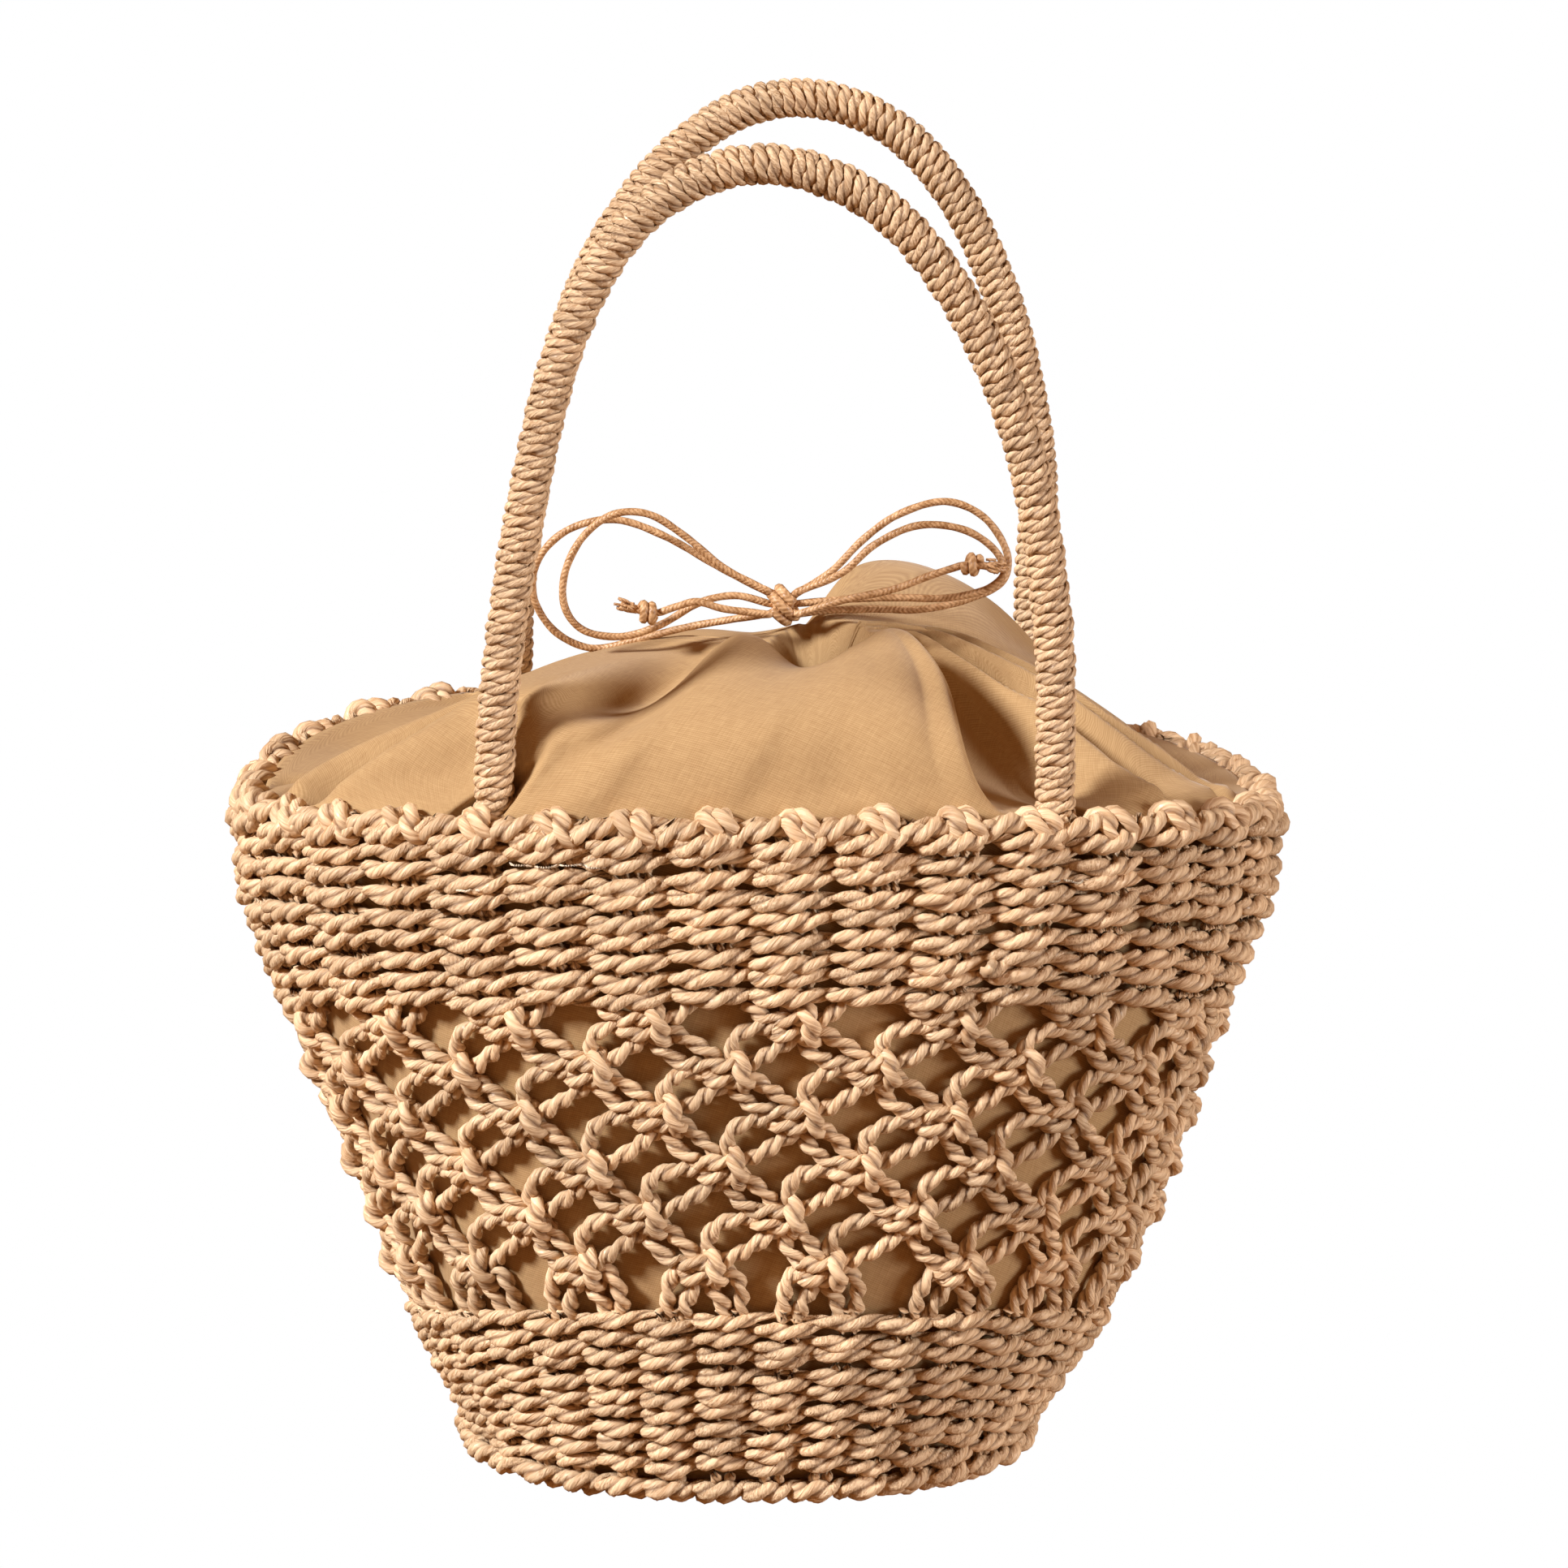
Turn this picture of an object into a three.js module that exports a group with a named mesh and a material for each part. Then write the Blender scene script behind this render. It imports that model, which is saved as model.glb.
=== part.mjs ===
// Bucket bag of twisted paper rope: twined bands above and below a knotted net, a looped rim,
// two wound handles, and a cotton pouch inside that is drawn shut with a waxed cord.
// Millimetres, +Z up. The bag stands on its base at z = 0, and -Y is its front.

import * as THREE from "three";

// Driving sizes
const PLAN_POWER = 2.3; // outline in plan: 2 is an ellipse, more is squarer
const FACE_LIFT_POWER = 1.3; // how the rows climb from the sides to the front and back of the squeezed bag
const FACETS_AROUND = 60;
const WALL = 7; // twined wall: a stake with a rope on each face
const GAP = 0.3; // between pieces that touch
const BASE_THICKNESS = 5;
const BORDER = { outward: 2.5, halfWidth: 4.6, halfHeight: 4.2 };
const RIM = { inset: 3.5, halfWidth: 3.5, halfHeight: 5 };
const HANDLE_DIAMETER = 11.2;
const CORD_DIAMETER = 2.2;
const CLOTH = 1;

// Net of square knots, in rows from the top down, each row half a knot round from the last
const NET = {
  rows: 6,
  knotsAround: 18,
  firstKnot: 0.32, // knots round from the front centre to the first one
  topRow: 0.925, // share of the net's height
  rowStep: 0.157,
  faceInset: 1.3,
  backInset: 5.9,
  knotHalfWidth: 5.5,
  knotHalfHeight: 4.5,
  legSpread: 8, // where the strands of the first and last rows meet the bands
};

// Outer face of the wall: half sizes in plan, and the height at each of its four sides
const SECTIONS = [
  { name: "foot", halfWidth: 76.5, halfDepth: 66, left: 0, right: 0, front: 0, back: 0 },
  { name: "border", halfWidth: 85, halfDepth: 74.5, left: 8.7, right: 8.7, front: 8.7, back: 8.7 },
  { name: "netFoot", halfWidth: 104.5, halfDepth: 88, left: 41, right: 41, front: 60, back: 60 },
  { name: "netMiddle", halfWidth: 121, halfDepth: 95, left: 85, right: 85, front: 104, back: 104 },
  { name: "netHead", halfWidth: 135.5, halfDepth: 100, left: 128, right: 128, front: 148, back: 148 },
  { name: "shoulder", halfWidth: 148, halfDepth: 101.5, left: 162, right: 161, front: 176, back: 178 },
  { name: "rim", halfWidth: 149, halfDepth: 101, left: 193.5, right: 189, front: 203, back: 210 },
];
const LEVEL = Object.fromEntries(SECTIONS.map((section, index) => [section.name, index]));

// Pouch: where the cloth lies inside the wall, and its gathered mouth
const POUCH = {
  inset: WALL + 0.4,
  floorHeight: BASE_THICKNESS + 0.4,
  floorInset: 4.5,
  cornerLift: 1.6,
  rimInset: WALL + 1.4,
  rimDrop: 3,
  mouth: new THREE.Vector3(6, -9, 241),
  mouthRadius: 8,
  hemDepth: 7,
  rise: 0.65, // under 1 makes the dome rise steeply from the rim
  domeSteps: [0.12, 0.28, 0.45, 0.62, 0.79, 0.92],
};
// Grooves that the handle legs press into the cloth
const LEG_GROOVE = { depth: 14.5, halfWidth: 0.02, shares: [0.112, 0.395, 0.602, 0.901] };
// Main folds of the gathered cloth: place round the bag from the front centre, by the right
const FOLDS = [
  { name: "front lobe", share: 0.985, halfWidth: 0.055, lift: 6 },
  { name: "front right crease", share: 0.075, halfWidth: 0.02, lift: -8 },
  { name: "right pleat", share: 0.16, halfWidth: 0.018, lift: 3 },
  { name: "right side pleat", share: 0.215, halfWidth: 0.018, lift: 3 },
  { name: "back right lobe", share: 0.36, halfWidth: 0.07, lift: 18 },
  { name: "back crease", share: 0.47, halfWidth: 0.025, lift: -7 },
  { name: "back left crease", share: 0.63, halfWidth: 0.025, lift: -6 },
  { name: "left pleat", share: 0.76, halfWidth: 0.02, lift: 3 },
  { name: "front left dent", share: 0.9, halfWidth: 0.03, lift: -6 },
];

// Handles: centre line from foot to foot, seen from the front
const FRONT_HANDLE = [
  [-71.5, -78.8, 174], [-71.5, -78.8, 205], [-69.5, -80, 240], [-62.5, -82, 288], [-52.4, -83.4, 333],
  [-33, -84.6, 365.5], [0, -85, 376.5], [31.5, -84.5, 366], [55, -83.2, 338], [71.5, -81, 299],
  [80.3, -78, 252], [81.8, -75.6, 212], [81.5, -75.2, 174],
];
const BACK_HANDLE = [
  [-73.3, 78.2, 180], [-73.3, 78.2, 212], [-71.5, 80, 250], [-64.5, 82, 296], [-52.5, 83.6, 334],
  [-33, 84.6, 362], [-8, 85, 378.5], [14, 85, 383.3], [38, 84.6, 375.5], [59, 84, 356.5],
  [74, 83, 325], [83, 81, 280], [82, 77.5, 240], [81, 75.3, 208], [81, 75.3, 180],
];

// Drawstring: knots, and the free stretches of cord that leave them
const BOW_KNOT = { centre: [7.5, -20, 248], length: 7, radius: 5.4 };
const END_KNOT = { length: 5.6, radius: 2.9 };
const LEFT_END_KNOT = [-30.4, -28, 247];
const RIGHT_END_KNOT = [60.2, -28, 260.6];
const CORD_ROUTES = {
  left_outer_loop: [
    [3.6, -17.6, 251], [-10, -17, 258], [-26, -16, 267], [-40, -15, 271.5], [-53, -14, 268.5], [-61.5, -12, 260],
    [-63.2, -9, 249], [-57.5, -6, 238.5], [-47, -3, 233], [-35, -5, 235.5], [-22, -9, 239.5], [-9, -13, 242.5],
    [3.6, -17, 245],
  ],
  left_inner_loop: [
    [3.6, -22.4, 252], [-9, -23, 258.8], [-20, -24, 268], [-30, -25, 274.3], [-40, -25, 274.3], [-48.5, -25, 268],
    [-53.6, -25, 258], [-53.8, -24, 248], [-48.5, -22, 241], [-38, -20, 239], [-27, -21, 242.5], [-16, -22.5, 249],
    [-6, -22.5, 251], [3.6, -21.6, 248.6],
  ],
  right_outer_loop: [
    [11.4, -17.6, 251], [21, -17, 257], [30, -16, 266], [40, -15, 273], [53, -14, 276.5], [64, -14, 272],
    [70.5, -15, 262], [69, -17, 254], [60, -18, 249.5], [47, -18, 246.5], [32, -18, 246.5], [20, -17.5, 246],
    [11.4, -17, 245],
  ],
  right_inner_loop: [
    [11.4, -22.4, 252], [24, -23, 257.5], [33, -23.5, 265.5], [45, -24, 271], [57.5, -24, 270], [66.3, -23.5, 264.5],
    [69.4, -22.5, 257.5], [64, -22.5, 252.6], [53, -22.5, 250.3], [42, -22.5, 250.4], [31, -22, 250.2],
    [20, -21.8, 249.4], [11.4, -21.6, 248.6],
  ],
  left_tail: [
    [3.6, -24.6, 246], [-9, -26.5, 247.8], [-16.4, -27.5, 250], [-22, -28, 248.8], [-27.2, -28, 247],
  ],
  right_tail: [
    [11.4, -24.6, 246], [24.5, -27, 250.4], [38, -28, 253.5], [49, -28, 257.6], [57, -28, 260.2],
  ],
};

const FINISHES = {
  rope: { color: 0xc39a6b, roughness: 0.7, metalness: 0 },
  cloth: { color: 0xd0a676, roughness: 0.85, metalness: 0 },
  cord: { color: 0xa57d50, roughness: 0.5, metalness: 0 },
};

// Outline of a section in plan, at a polar angle
function planPoint(section, angle) {
  const acrossTerm = Math.abs(Math.cos(angle) / section.halfWidth) ** PLAN_POWER;
  const depthTerm = Math.abs(Math.sin(angle) / section.halfDepth) ** PLAN_POWER;
  const radius = (acrossTerm + depthTerm) ** (-1 / PLAN_POWER);
  return new THREE.Vector2(radius * Math.cos(angle), radius * Math.sin(angle));
}

function planNormal(section, point) {
  const slope = (value, half) => (Math.sign(value) * Math.abs(value / half) ** (PLAN_POWER - 1)) / half;
  return new THREE.Vector2(slope(point.x, section.halfWidth), slope(point.y, section.halfDepth)).normalize();
}

// Polar angles at equal steps along each section's outline, from the front centre round by the right
const OUTLINE_STEPS = 720;
const OUTLINE_ANGLES = SECTIONS.map((section) => {
  const angleOf = (step) => -Math.PI / 2 + (2 * Math.PI * step) / OUTLINE_STEPS;
  const lengths = [0];
  for (let step = 1; step <= OUTLINE_STEPS; step += 1) {
    const chord = planPoint(section, angleOf(step)).distanceTo(planPoint(section, angleOf(step - 1)));
    lengths.push(lengths[step - 1] + chord);
  }
  const angles = [];
  let step = 0;
  for (let index = 0; index <= OUTLINE_STEPS; index += 1) {
    const target = (lengths[OUTLINE_STEPS] * index) / OUTLINE_STEPS;
    while (step < OUTLINE_STEPS - 1 && lengths[step + 1] < target) step += 1;
    const share = (target - lengths[step]) / (lengths[step + 1] - lengths[step]);
    angles.push(angleOf(step + share));
  }
  return angles;
});

function sectionAt(level) {
  const lower = Math.min(Math.floor(level), SECTIONS.length - 2);
  const mix = level - lower;
  const blended = {};
  for (const key of ["halfWidth", "halfDepth", "left", "right", "front", "back"]) {
    blended[key] = THREE.MathUtils.lerp(SECTIONS[lower][key], SECTIONS[lower + 1][key], mix);
  }
  return blended;
}

function angleAt(level, share) {
  const lower = Math.min(Math.floor(level), SECTIONS.length - 2);
  const place = (share - Math.floor(share)) * OUTLINE_STEPS;
  const step = Math.floor(place);
  const alongOutline = (angles) => THREE.MathUtils.lerp(angles[step], angles[step + 1], place - step);
  return THREE.MathUtils.lerp(
    alongOutline(OUTLINE_ANGLES[lower]), alongOutline(OUTLINE_ANGLES[lower + 1]), level - lower);
}

// A point of the wall: level between sections, share round the bag, and inset from the outer face
function wallPoint(level, share, inset) {
  const section = sectionAt(level);
  const angle = angleAt(level, share);
  const point = planPoint(section, angle);
  const sideHeight = THREE.MathUtils.lerp(section.left, section.right, (point.x / section.halfWidth + 1) / 2);
  const faceHeight = point.y > 0 ? section.back : section.front;
  const faceShare = Math.abs(point.y / section.halfDepth) ** FACE_LIFT_POWER;
  const height = THREE.MathUtils.lerp(sideHeight, faceHeight, faceShare);
  point.addScaledVector(planNormal(section, point), -inset);
  return new THREE.Vector3(point.x, point.y, height);
}

function ring(pointAtShare) {
  return Array.from({ length: FACETS_AROUND }, (_, index) => pointAtShare(index / FACETS_AROUND));
}

function wallRing(level, inset, lift = 0) {
  return ring((share) => wallPoint(level, share, inset).add(new THREE.Vector3(0, 0, lift)));
}

function flatRing(level, inset, height) {
  return ring((share) => wallPoint(level, share, inset).setZ(height));
}

// Turns points and triangles into a geometry whose faces look out
function closedGeometry(points, triangles) {
  let volume = 0;
  const normal = new THREE.Vector3();
  for (const [a, b, c] of triangles) {
    volume += points[a].dot(normal.crossVectors(points[b], points[c]));
  }
  const outward = volume > 0 ? triangles : triangles.map(([a, b, c]) => [a, c, b]);
  const geometry = new THREE.BufferGeometry().setFromPoints(points);
  geometry.setIndex(outward.flat());
  geometry.computeVertexNormals();
  return geometry;
}

// Skin over a row of rings; a ring of one point is a pole, and a closed row joins its last ring to its first
function loft(rings, closed) {
  const points = rings.flat();
  const starts = [];
  rings.reduce((start, current) => {
    starts.push(start);
    return start + current.length;
  }, 0);
  const triangles = [];
  const spans = closed ? rings.length : rings.length - 1;
  for (let span = 0; span < spans; span += 1) {
    const next = (span + 1) % rings.length;
    for (let index = 0; index < FACETS_AROUND; index += 1) {
      const at = (which, offset) => starts[which] + ((index + offset) % FACETS_AROUND) % rings[which].length;
      if (rings[span].length > 1) triangles.push([at(span, 0), at(span, 1), at(next, 1)]);
      if (rings[next].length > 1) triangles.push([at(span, 0), at(next, 1), at(next, 0)]);
    }
  }
  return closedGeometry(points, triangles);
}

function baseMat() {
  const inset = BORDER.halfWidth - BORDER.outward + GAP;
  return loft([
    [new THREE.Vector3(0, 0, 0)],
    flatRing(LEVEL.foot, inset, 0),
    flatRing(LEVEL.foot, inset, BASE_THICKNESS),
    [new THREE.Vector3(0, 0, BASE_THICKNESS)],
  ], false);
}

// Six-sided section with a flat top and foot, as [outward, up] shares of its half sizes
const BRAID_SECTION = [[-0.6, -1], [0.6, -1], [1, 0], [0.6, 1], [-0.6, 1], [-1, 0]];

function footBorder() {
  const rings = BRAID_SECTION.map(([outward, up]) => flatRing(
    LEVEL.foot, -BORDER.outward - outward * BORDER.halfWidth, BORDER.halfHeight * (1 + up)));
  return loft(rings, true);
}

function rimBraid() {
  const rings = BRAID_SECTION.map(([outward, up]) => wallRing(
    LEVEL.rim, RIM.inset - outward * RIM.halfWidth, RIM.halfHeight * (up - 1)));
  return loft(rings, true);
}

// Twined band as a ring of even thickness through the named stops, from the bottom up
function band(stops) {
  const outer = stops.map(({ level, lift }) => wallRing(level, 0, lift));
  const inner = stops.map(({ level, lift }) => wallRing(level, WALL, lift)).reverse();
  return loft([...outer, ...inner], true);
}

function lowerBand() {
  return band([{ level: LEVEL.border, lift: 0 }, { level: LEVEL.netFoot, lift: 0 }]);
}

function upperBand() {
  const underRim = -2 * RIM.halfHeight - GAP;
  return band([
    { level: LEVEL.netHead, lift: 0 },
    { level: LEVEL.shoulder, lift: 0 },
    { level: LEVEL.rim, lift: underRim },
  ]);
}

// Net: every knot is a diamond plate, and a strap joins each of its four edges to the next row
function netBand() {
  const points = [];
  const triangles = [];
  const quad = (a, b, c, d) => triangles.push([a, b, c], [a, c, d]);
  const addPair = (level, share) => {
    points.push(wallPoint(level, share, NET.faceInset), wallPoint(level, share, NET.backInset));
    return points.length - 2; // the point behind it is the next one
  };
  const levelSpan = LEVEL.netHead - LEVEL.netFoot;
  const roundLength = (level) => {
    const corner = sectionAt(level);
    return Math.PI * (corner.halfWidth + corner.halfDepth);
  };
  const slantHeight = 90;
  const levelStep = (NET.knotHalfHeight / slantHeight) * levelSpan;
  const knots = [];
  for (let row = 0; row < NET.rows; row += 1) {
    const level = LEVEL.netFoot + levelSpan * (NET.topRow - NET.rowStep * row);
    const shareStep = NET.knotHalfWidth / roundLength(level);
    knots.push(Array.from({ length: NET.knotsAround }, (_, index) => {
      const share = (index + NET.firstKnot + (row % 2) / 2) / NET.knotsAround;
      return {
        share,
        top: addPair(level + levelStep, share),
        right: addPair(level, share + shareStep),
        bottom: addPair(level - levelStep, share),
        left: addPair(level, share - shareStep),
      };
    }));
  }
  // A strap from one edge to another: both edges run the same way round
  const strap = ([fromLow, fromHigh], [toLow, toHigh]) => {
    quad(fromHigh, fromLow, toLow, toHigh);
    quad(fromLow + 1, fromHigh + 1, toHigh + 1, toLow + 1);
    quad(fromHigh, toHigh, toHigh + 1, fromHigh + 1);
    quad(toLow, fromLow, fromLow + 1, toLow + 1);
  };
  const endCap = (low, high) => quad(high, low, low + 1, high + 1);
  const legEnd = (knot, level, side) => {
    const nearStep = (side * NET.legSpread * 0.3) / roundLength(level);
    const farStep = (side * NET.legSpread) / roundLength(level);
    return [addPair(level, knot.share + farStep), addPair(level, knot.share + nearStep)];
  };
  const edgeGap = (GAP / slantHeight) * levelSpan;
  knots.forEach((rowKnots, row) => rowKnots.forEach((knot, index) => {
    quad(knot.top, knot.left, knot.bottom, knot.right);
    quad(knot.top + 1, knot.right + 1, knot.bottom + 1, knot.left + 1);
    if (row === 0) {
      const head = LEVEL.netHead - edgeGap;
      const [rightFar, rightNear] = legEnd(knot, head, 1);
      const [leftFar, leftNear] = legEnd(knot, head, -1);
      strap([knot.right, knot.top], [rightFar, rightNear]);
      endCap(rightFar, rightNear);
      strap([knot.top, knot.left], [leftNear, leftFar]);
      endCap(leftNear, leftFar);
    }
    if (row === NET.rows - 1) {
      const foot = LEVEL.netFoot + edgeGap;
      const [rightFar, rightNear] = legEnd(knot, foot, 1);
      const [leftFar, leftNear] = legEnd(knot, foot, -1);
      strap([knot.bottom, knot.right], [rightNear, rightFar]);
      endCap(rightNear, rightFar);
      strap([knot.left, knot.bottom], [leftFar, leftNear]);
      endCap(leftFar, leftNear);
      return;
    }
    const below = knots[row + 1];
    const shift = row % 2;
    const lowerRight = below[(index + shift) % NET.knotsAround];
    const lowerLeft = below[(index + shift + NET.knotsAround - 1) % NET.knotsAround];
    strap([knot.bottom, knot.right], [lowerRight.left, lowerRight.top]);
    strap([knot.left, knot.bottom], [lowerLeft.top, lowerLeft.right]);
  }));
  return closedGeometry(points, triangles);
}

// Depth round the bag of a bump at a given place, 1 at its middle
function bump(share, place, halfWidth) {
  const apart = Math.abs(share - place);
  const nearest = Math.min(apart, 1 - apart);
  return Math.exp(-((nearest / halfWidth) ** 2));
}

function legGroove(share) {
  const presses = LEG_GROOVE.shares.map((place) => bump(share, place, LEG_GROOVE.halfWidth));
  return LEG_GROOVE.depth * Math.max(...presses);
}

function pouchRimPoint(share) {
  const point = wallPoint(LEVEL.rim, share, POUCH.rimInset + legGroove(share));
  return point.setZ(point.z - POUCH.rimDrop);
}

function mouthPoint(share, radius) {
  const angle = angleAt(LEVEL.rim, share);
  return new THREE.Vector3(radius * Math.cos(angle), radius * Math.sin(angle), 0).add(POUCH.mouth);
}

// Gathered top of the pouch: step 0 is at the rim and step 1 at the mouth
function domePoint(share, step) {
  const rim = pouchRimPoint(share);
  const mouth = mouthPoint(share, POUCH.mouthRadius);
  const folds = FOLDS.reduce((sum, fold) => sum + fold.lift * bump(share, fold.share, fold.halfWidth), 0);
  const point = rim.clone().lerp(mouth, step);
  const height = THREE.MathUtils.lerp(rim.z, mouth.z, step ** POUCH.rise);
  return point.setZ(height + folds * Math.sin(Math.PI * step));
}

// Cloth pouch: outer rings from the floor to the mouth, then the same rings again one cloth thickness inside
function lining() {
  const outer = [
    flatRing(LEVEL.foot, POUCH.floorInset, POUCH.floorHeight),
    wallRing(LEVEL.border, POUCH.inset, POUCH.cornerLift),
    wallRing(LEVEL.netFoot, POUCH.inset),
    wallRing(LEVEL.netMiddle, POUCH.inset),
    wallRing(LEVEL.netHead, POUCH.inset),
    ring((share) => wallPoint(LEVEL.shoulder, share, POUCH.inset + legGroove(share))),
    ring(pouchRimPoint),
    ...POUCH.domeSteps.map((step) => ring((share) => domePoint(share, step))),
    ring((share) => mouthPoint(share, POUCH.mouthRadius)),
    ring((share) => mouthPoint(share, POUCH.mouthRadius - CLOTH / 2).add(new THREE.Vector3(0, 0, -POUCH.hemDepth))),
  ];
  const last = outer.length - 1;
  const inner = outer.map((points, row) => points.map((point, index) => {
    const around = points[(index + 1) % FACETS_AROUND].clone()
      .sub(points[(index + FACETS_AROUND - 1) % FACETS_AROUND]);
    const along = outer[Math.min(row + 1, last)][index].clone().sub(outer[Math.max(row - 1, 0)][index]);
    const normal = around.cross(along).normalize();
    return point.clone().addScaledVector(normal, -CLOTH);
  }));
  inner[0] = flatRing(LEVEL.foot, POUCH.floorInset + CLOTH, POUCH.floorHeight + CLOTH);
  const floorCentre = (height) => [new THREE.Vector3(0, 0, height)];
  return loft([
    floorCentre(POUCH.floorHeight),
    ...outer,
    ...inner.reverse(),
    floorCentre(POUCH.floorHeight + CLOTH),
  ], false);
}

// Tube along a hand-laid route
function tube(route, diameter, sides, steps) {
  const outline = Array.from({ length: sides }, (_, index) => {
    const angle = (2 * Math.PI * (index + 0.5)) / sides;
    return new THREE.Vector2((diameter / 2) * Math.cos(angle), (diameter / 2) * Math.sin(angle));
  });
  const curve = new THREE.CatmullRomCurve3(route.map((point) => new THREE.Vector3(...point)), false, "centripetal");
  return new THREE.ExtrudeGeometry(new THREE.Shape(outline), { extrudePath: curve, steps, bevelEnabled: false });
}

// Tied knot as a rounded barrel lying along X
function knotBarrel({ length, radius }) {
  const profile = [[0, -1], [0.6, -1], [0.92, -0.6], [1, 0], [0.92, 0.6], [0.6, 1], [0, 1]];
  const points = profile.map(([out, along]) => new THREE.Vector2(out * radius, (along * length) / 2));
  return new THREE.LatheGeometry(points, 10).rotateZ(-Math.PI / 2);
}

const bag = new THREE.Group();

function addPiece(name, finish, geometry, position = [0, 0, 0]) {
  const piece = new THREE.Mesh(geometry, new THREE.MeshStandardMaterial(FINISHES[finish]));
  piece.name = name;
  piece.position.set(...position);
  bag.add(piece);
}

addPiece("base_mat", "rope", baseMat());
addPiece("foot_border", "rope", footBorder());
addPiece("lower_band", "rope", lowerBand());
addPiece("net_band", "rope", netBand());
addPiece("upper_band", "rope", upperBand());
addPiece("rim_braid", "rope", rimBraid());
addPiece("front_handle", "rope", tube(FRONT_HANDLE, HANDLE_DIAMETER, 10, 24));
addPiece("back_handle", "rope", tube(BACK_HANDLE, HANDLE_DIAMETER, 10, 24));
addPiece("lining", "cloth", lining());
addPiece("bow_knot", "cord", knotBarrel(BOW_KNOT), BOW_KNOT.centre);
addPiece("left_end_knot", "cord", knotBarrel(END_KNOT), LEFT_END_KNOT);
addPiece("right_end_knot", "cord", knotBarrel(END_KNOT), RIGHT_END_KNOT);
const CORD_SIDES = 8;
const LOOP_STEPS = 22;
const TAIL_STEPS = 8;
for (const [name, route] of Object.entries(CORD_ROUTES)) {
  addPiece(name, "cord", tube(route, CORD_DIAMETER, CORD_SIDES, name.endsWith("loop") ? LOOP_STEPS : TAIL_STEPS));
}

export default bag;
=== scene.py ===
"""Bucket bag of twisted paper rope with a drawn cotton lining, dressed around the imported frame.

Sizes are in millimetres in the part's own frame, and become metres where a mesh is made. A place on
the bag's wall is a share round it (0 at the front centre, 0.25 at the right, 0.5 at the back), a level
up it (0 at the foot, 6 at the rim) and an inset from its outer face.
"""
import logging
import math
from dataclasses import dataclass, field
from enum import Enum

import bpy
import numpy as np
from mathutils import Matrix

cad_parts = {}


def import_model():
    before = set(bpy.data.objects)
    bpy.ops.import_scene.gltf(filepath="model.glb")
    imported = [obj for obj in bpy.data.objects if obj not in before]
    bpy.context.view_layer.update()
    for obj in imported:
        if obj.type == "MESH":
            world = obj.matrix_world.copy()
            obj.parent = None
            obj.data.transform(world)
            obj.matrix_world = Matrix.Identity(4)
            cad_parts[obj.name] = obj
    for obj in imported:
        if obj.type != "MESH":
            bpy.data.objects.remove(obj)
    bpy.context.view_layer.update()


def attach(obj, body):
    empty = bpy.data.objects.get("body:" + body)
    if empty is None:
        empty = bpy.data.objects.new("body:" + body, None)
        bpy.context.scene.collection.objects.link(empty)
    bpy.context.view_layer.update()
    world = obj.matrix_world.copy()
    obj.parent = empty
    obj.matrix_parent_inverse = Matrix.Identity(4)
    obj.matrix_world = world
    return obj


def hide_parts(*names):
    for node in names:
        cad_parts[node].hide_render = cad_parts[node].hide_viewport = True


Array = np.ndarray
Links = dict[str | int, object]
Point = tuple[float, float, float]

MM = 0.001
BODY = "root"
UP = np.array([0.0, 0.0, 1.0])
DEEP = np.array([0.0, 1.0, 0.0])
# A colour Mix node's two inputs and its output
MIX_A, MIX_B, MIXED = 6, 7, 2

log = logging.getLogger("bucket_bag")


class Slot(Enum):
    """The record's material slots."""

    PAPER_ROPE = "paper_rope"
    COTTON_LINING = "cotton_lining"
    WAXED_CORD = "waxed_cord"


def srgb(code: str) -> tuple[float, float, float, float]:
    """Turns an sRGB hex colour into the linear colour that a shader takes.

    Args:
        code: The colour as six hex digits.

    Returns:
        Linear red, green, blue and an alpha of 1.
    """
    values = [int(code[i:i + 2], 16) / 255 for i in (0, 2, 4)]
    linear = [v / 12.92 if v <= 0.04045 else ((v + 0.055) / 1.055) ** 2.4 for v in values]
    return (*linear, 1.0)


def add_node(
    tree: bpy.types.NodeTree, kind: str, links: Links | None = None, **settings: object
) -> bpy.types.Node:
    """Adds a node with its settings, and links or sets its inputs.

    Args:
        tree: The node tree that takes the node.
        kind: Blender's type name of the node, without ShaderNode before it.
        links: Input name or index to an output socket or a plain value.
        **settings: Properties of the node.

    Returns:
        The new node.
    """
    node = tree.nodes.new(f"ShaderNode{kind}")
    for name, value in settings.items():
        setattr(node, name, value)
    for name, source in (links or {}).items():
        if isinstance(source, bpy.types.NodeSocket):
            tree.links.new(source, node.inputs[name])
        else:
            node.inputs[name].default_value = source
    return node


def new_material(name: str) -> tuple[bpy.types.Material, bpy.types.NodeTree]:
    """Makes an empty node material.

    Args:
        name: The material's name.

    Returns:
        The material and its cleared node tree.
    """
    material = bpy.data.materials.new(name)
    material.use_nodes = True
    material.node_tree.nodes.clear()
    return material, material.node_tree


def unit(vectors: Array) -> Array:
    """Scales vectors along the last axis to length 1."""
    return vectors / np.maximum(np.linalg.norm(vectors, axis=-1, keepdims=True), 1e-9)


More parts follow.
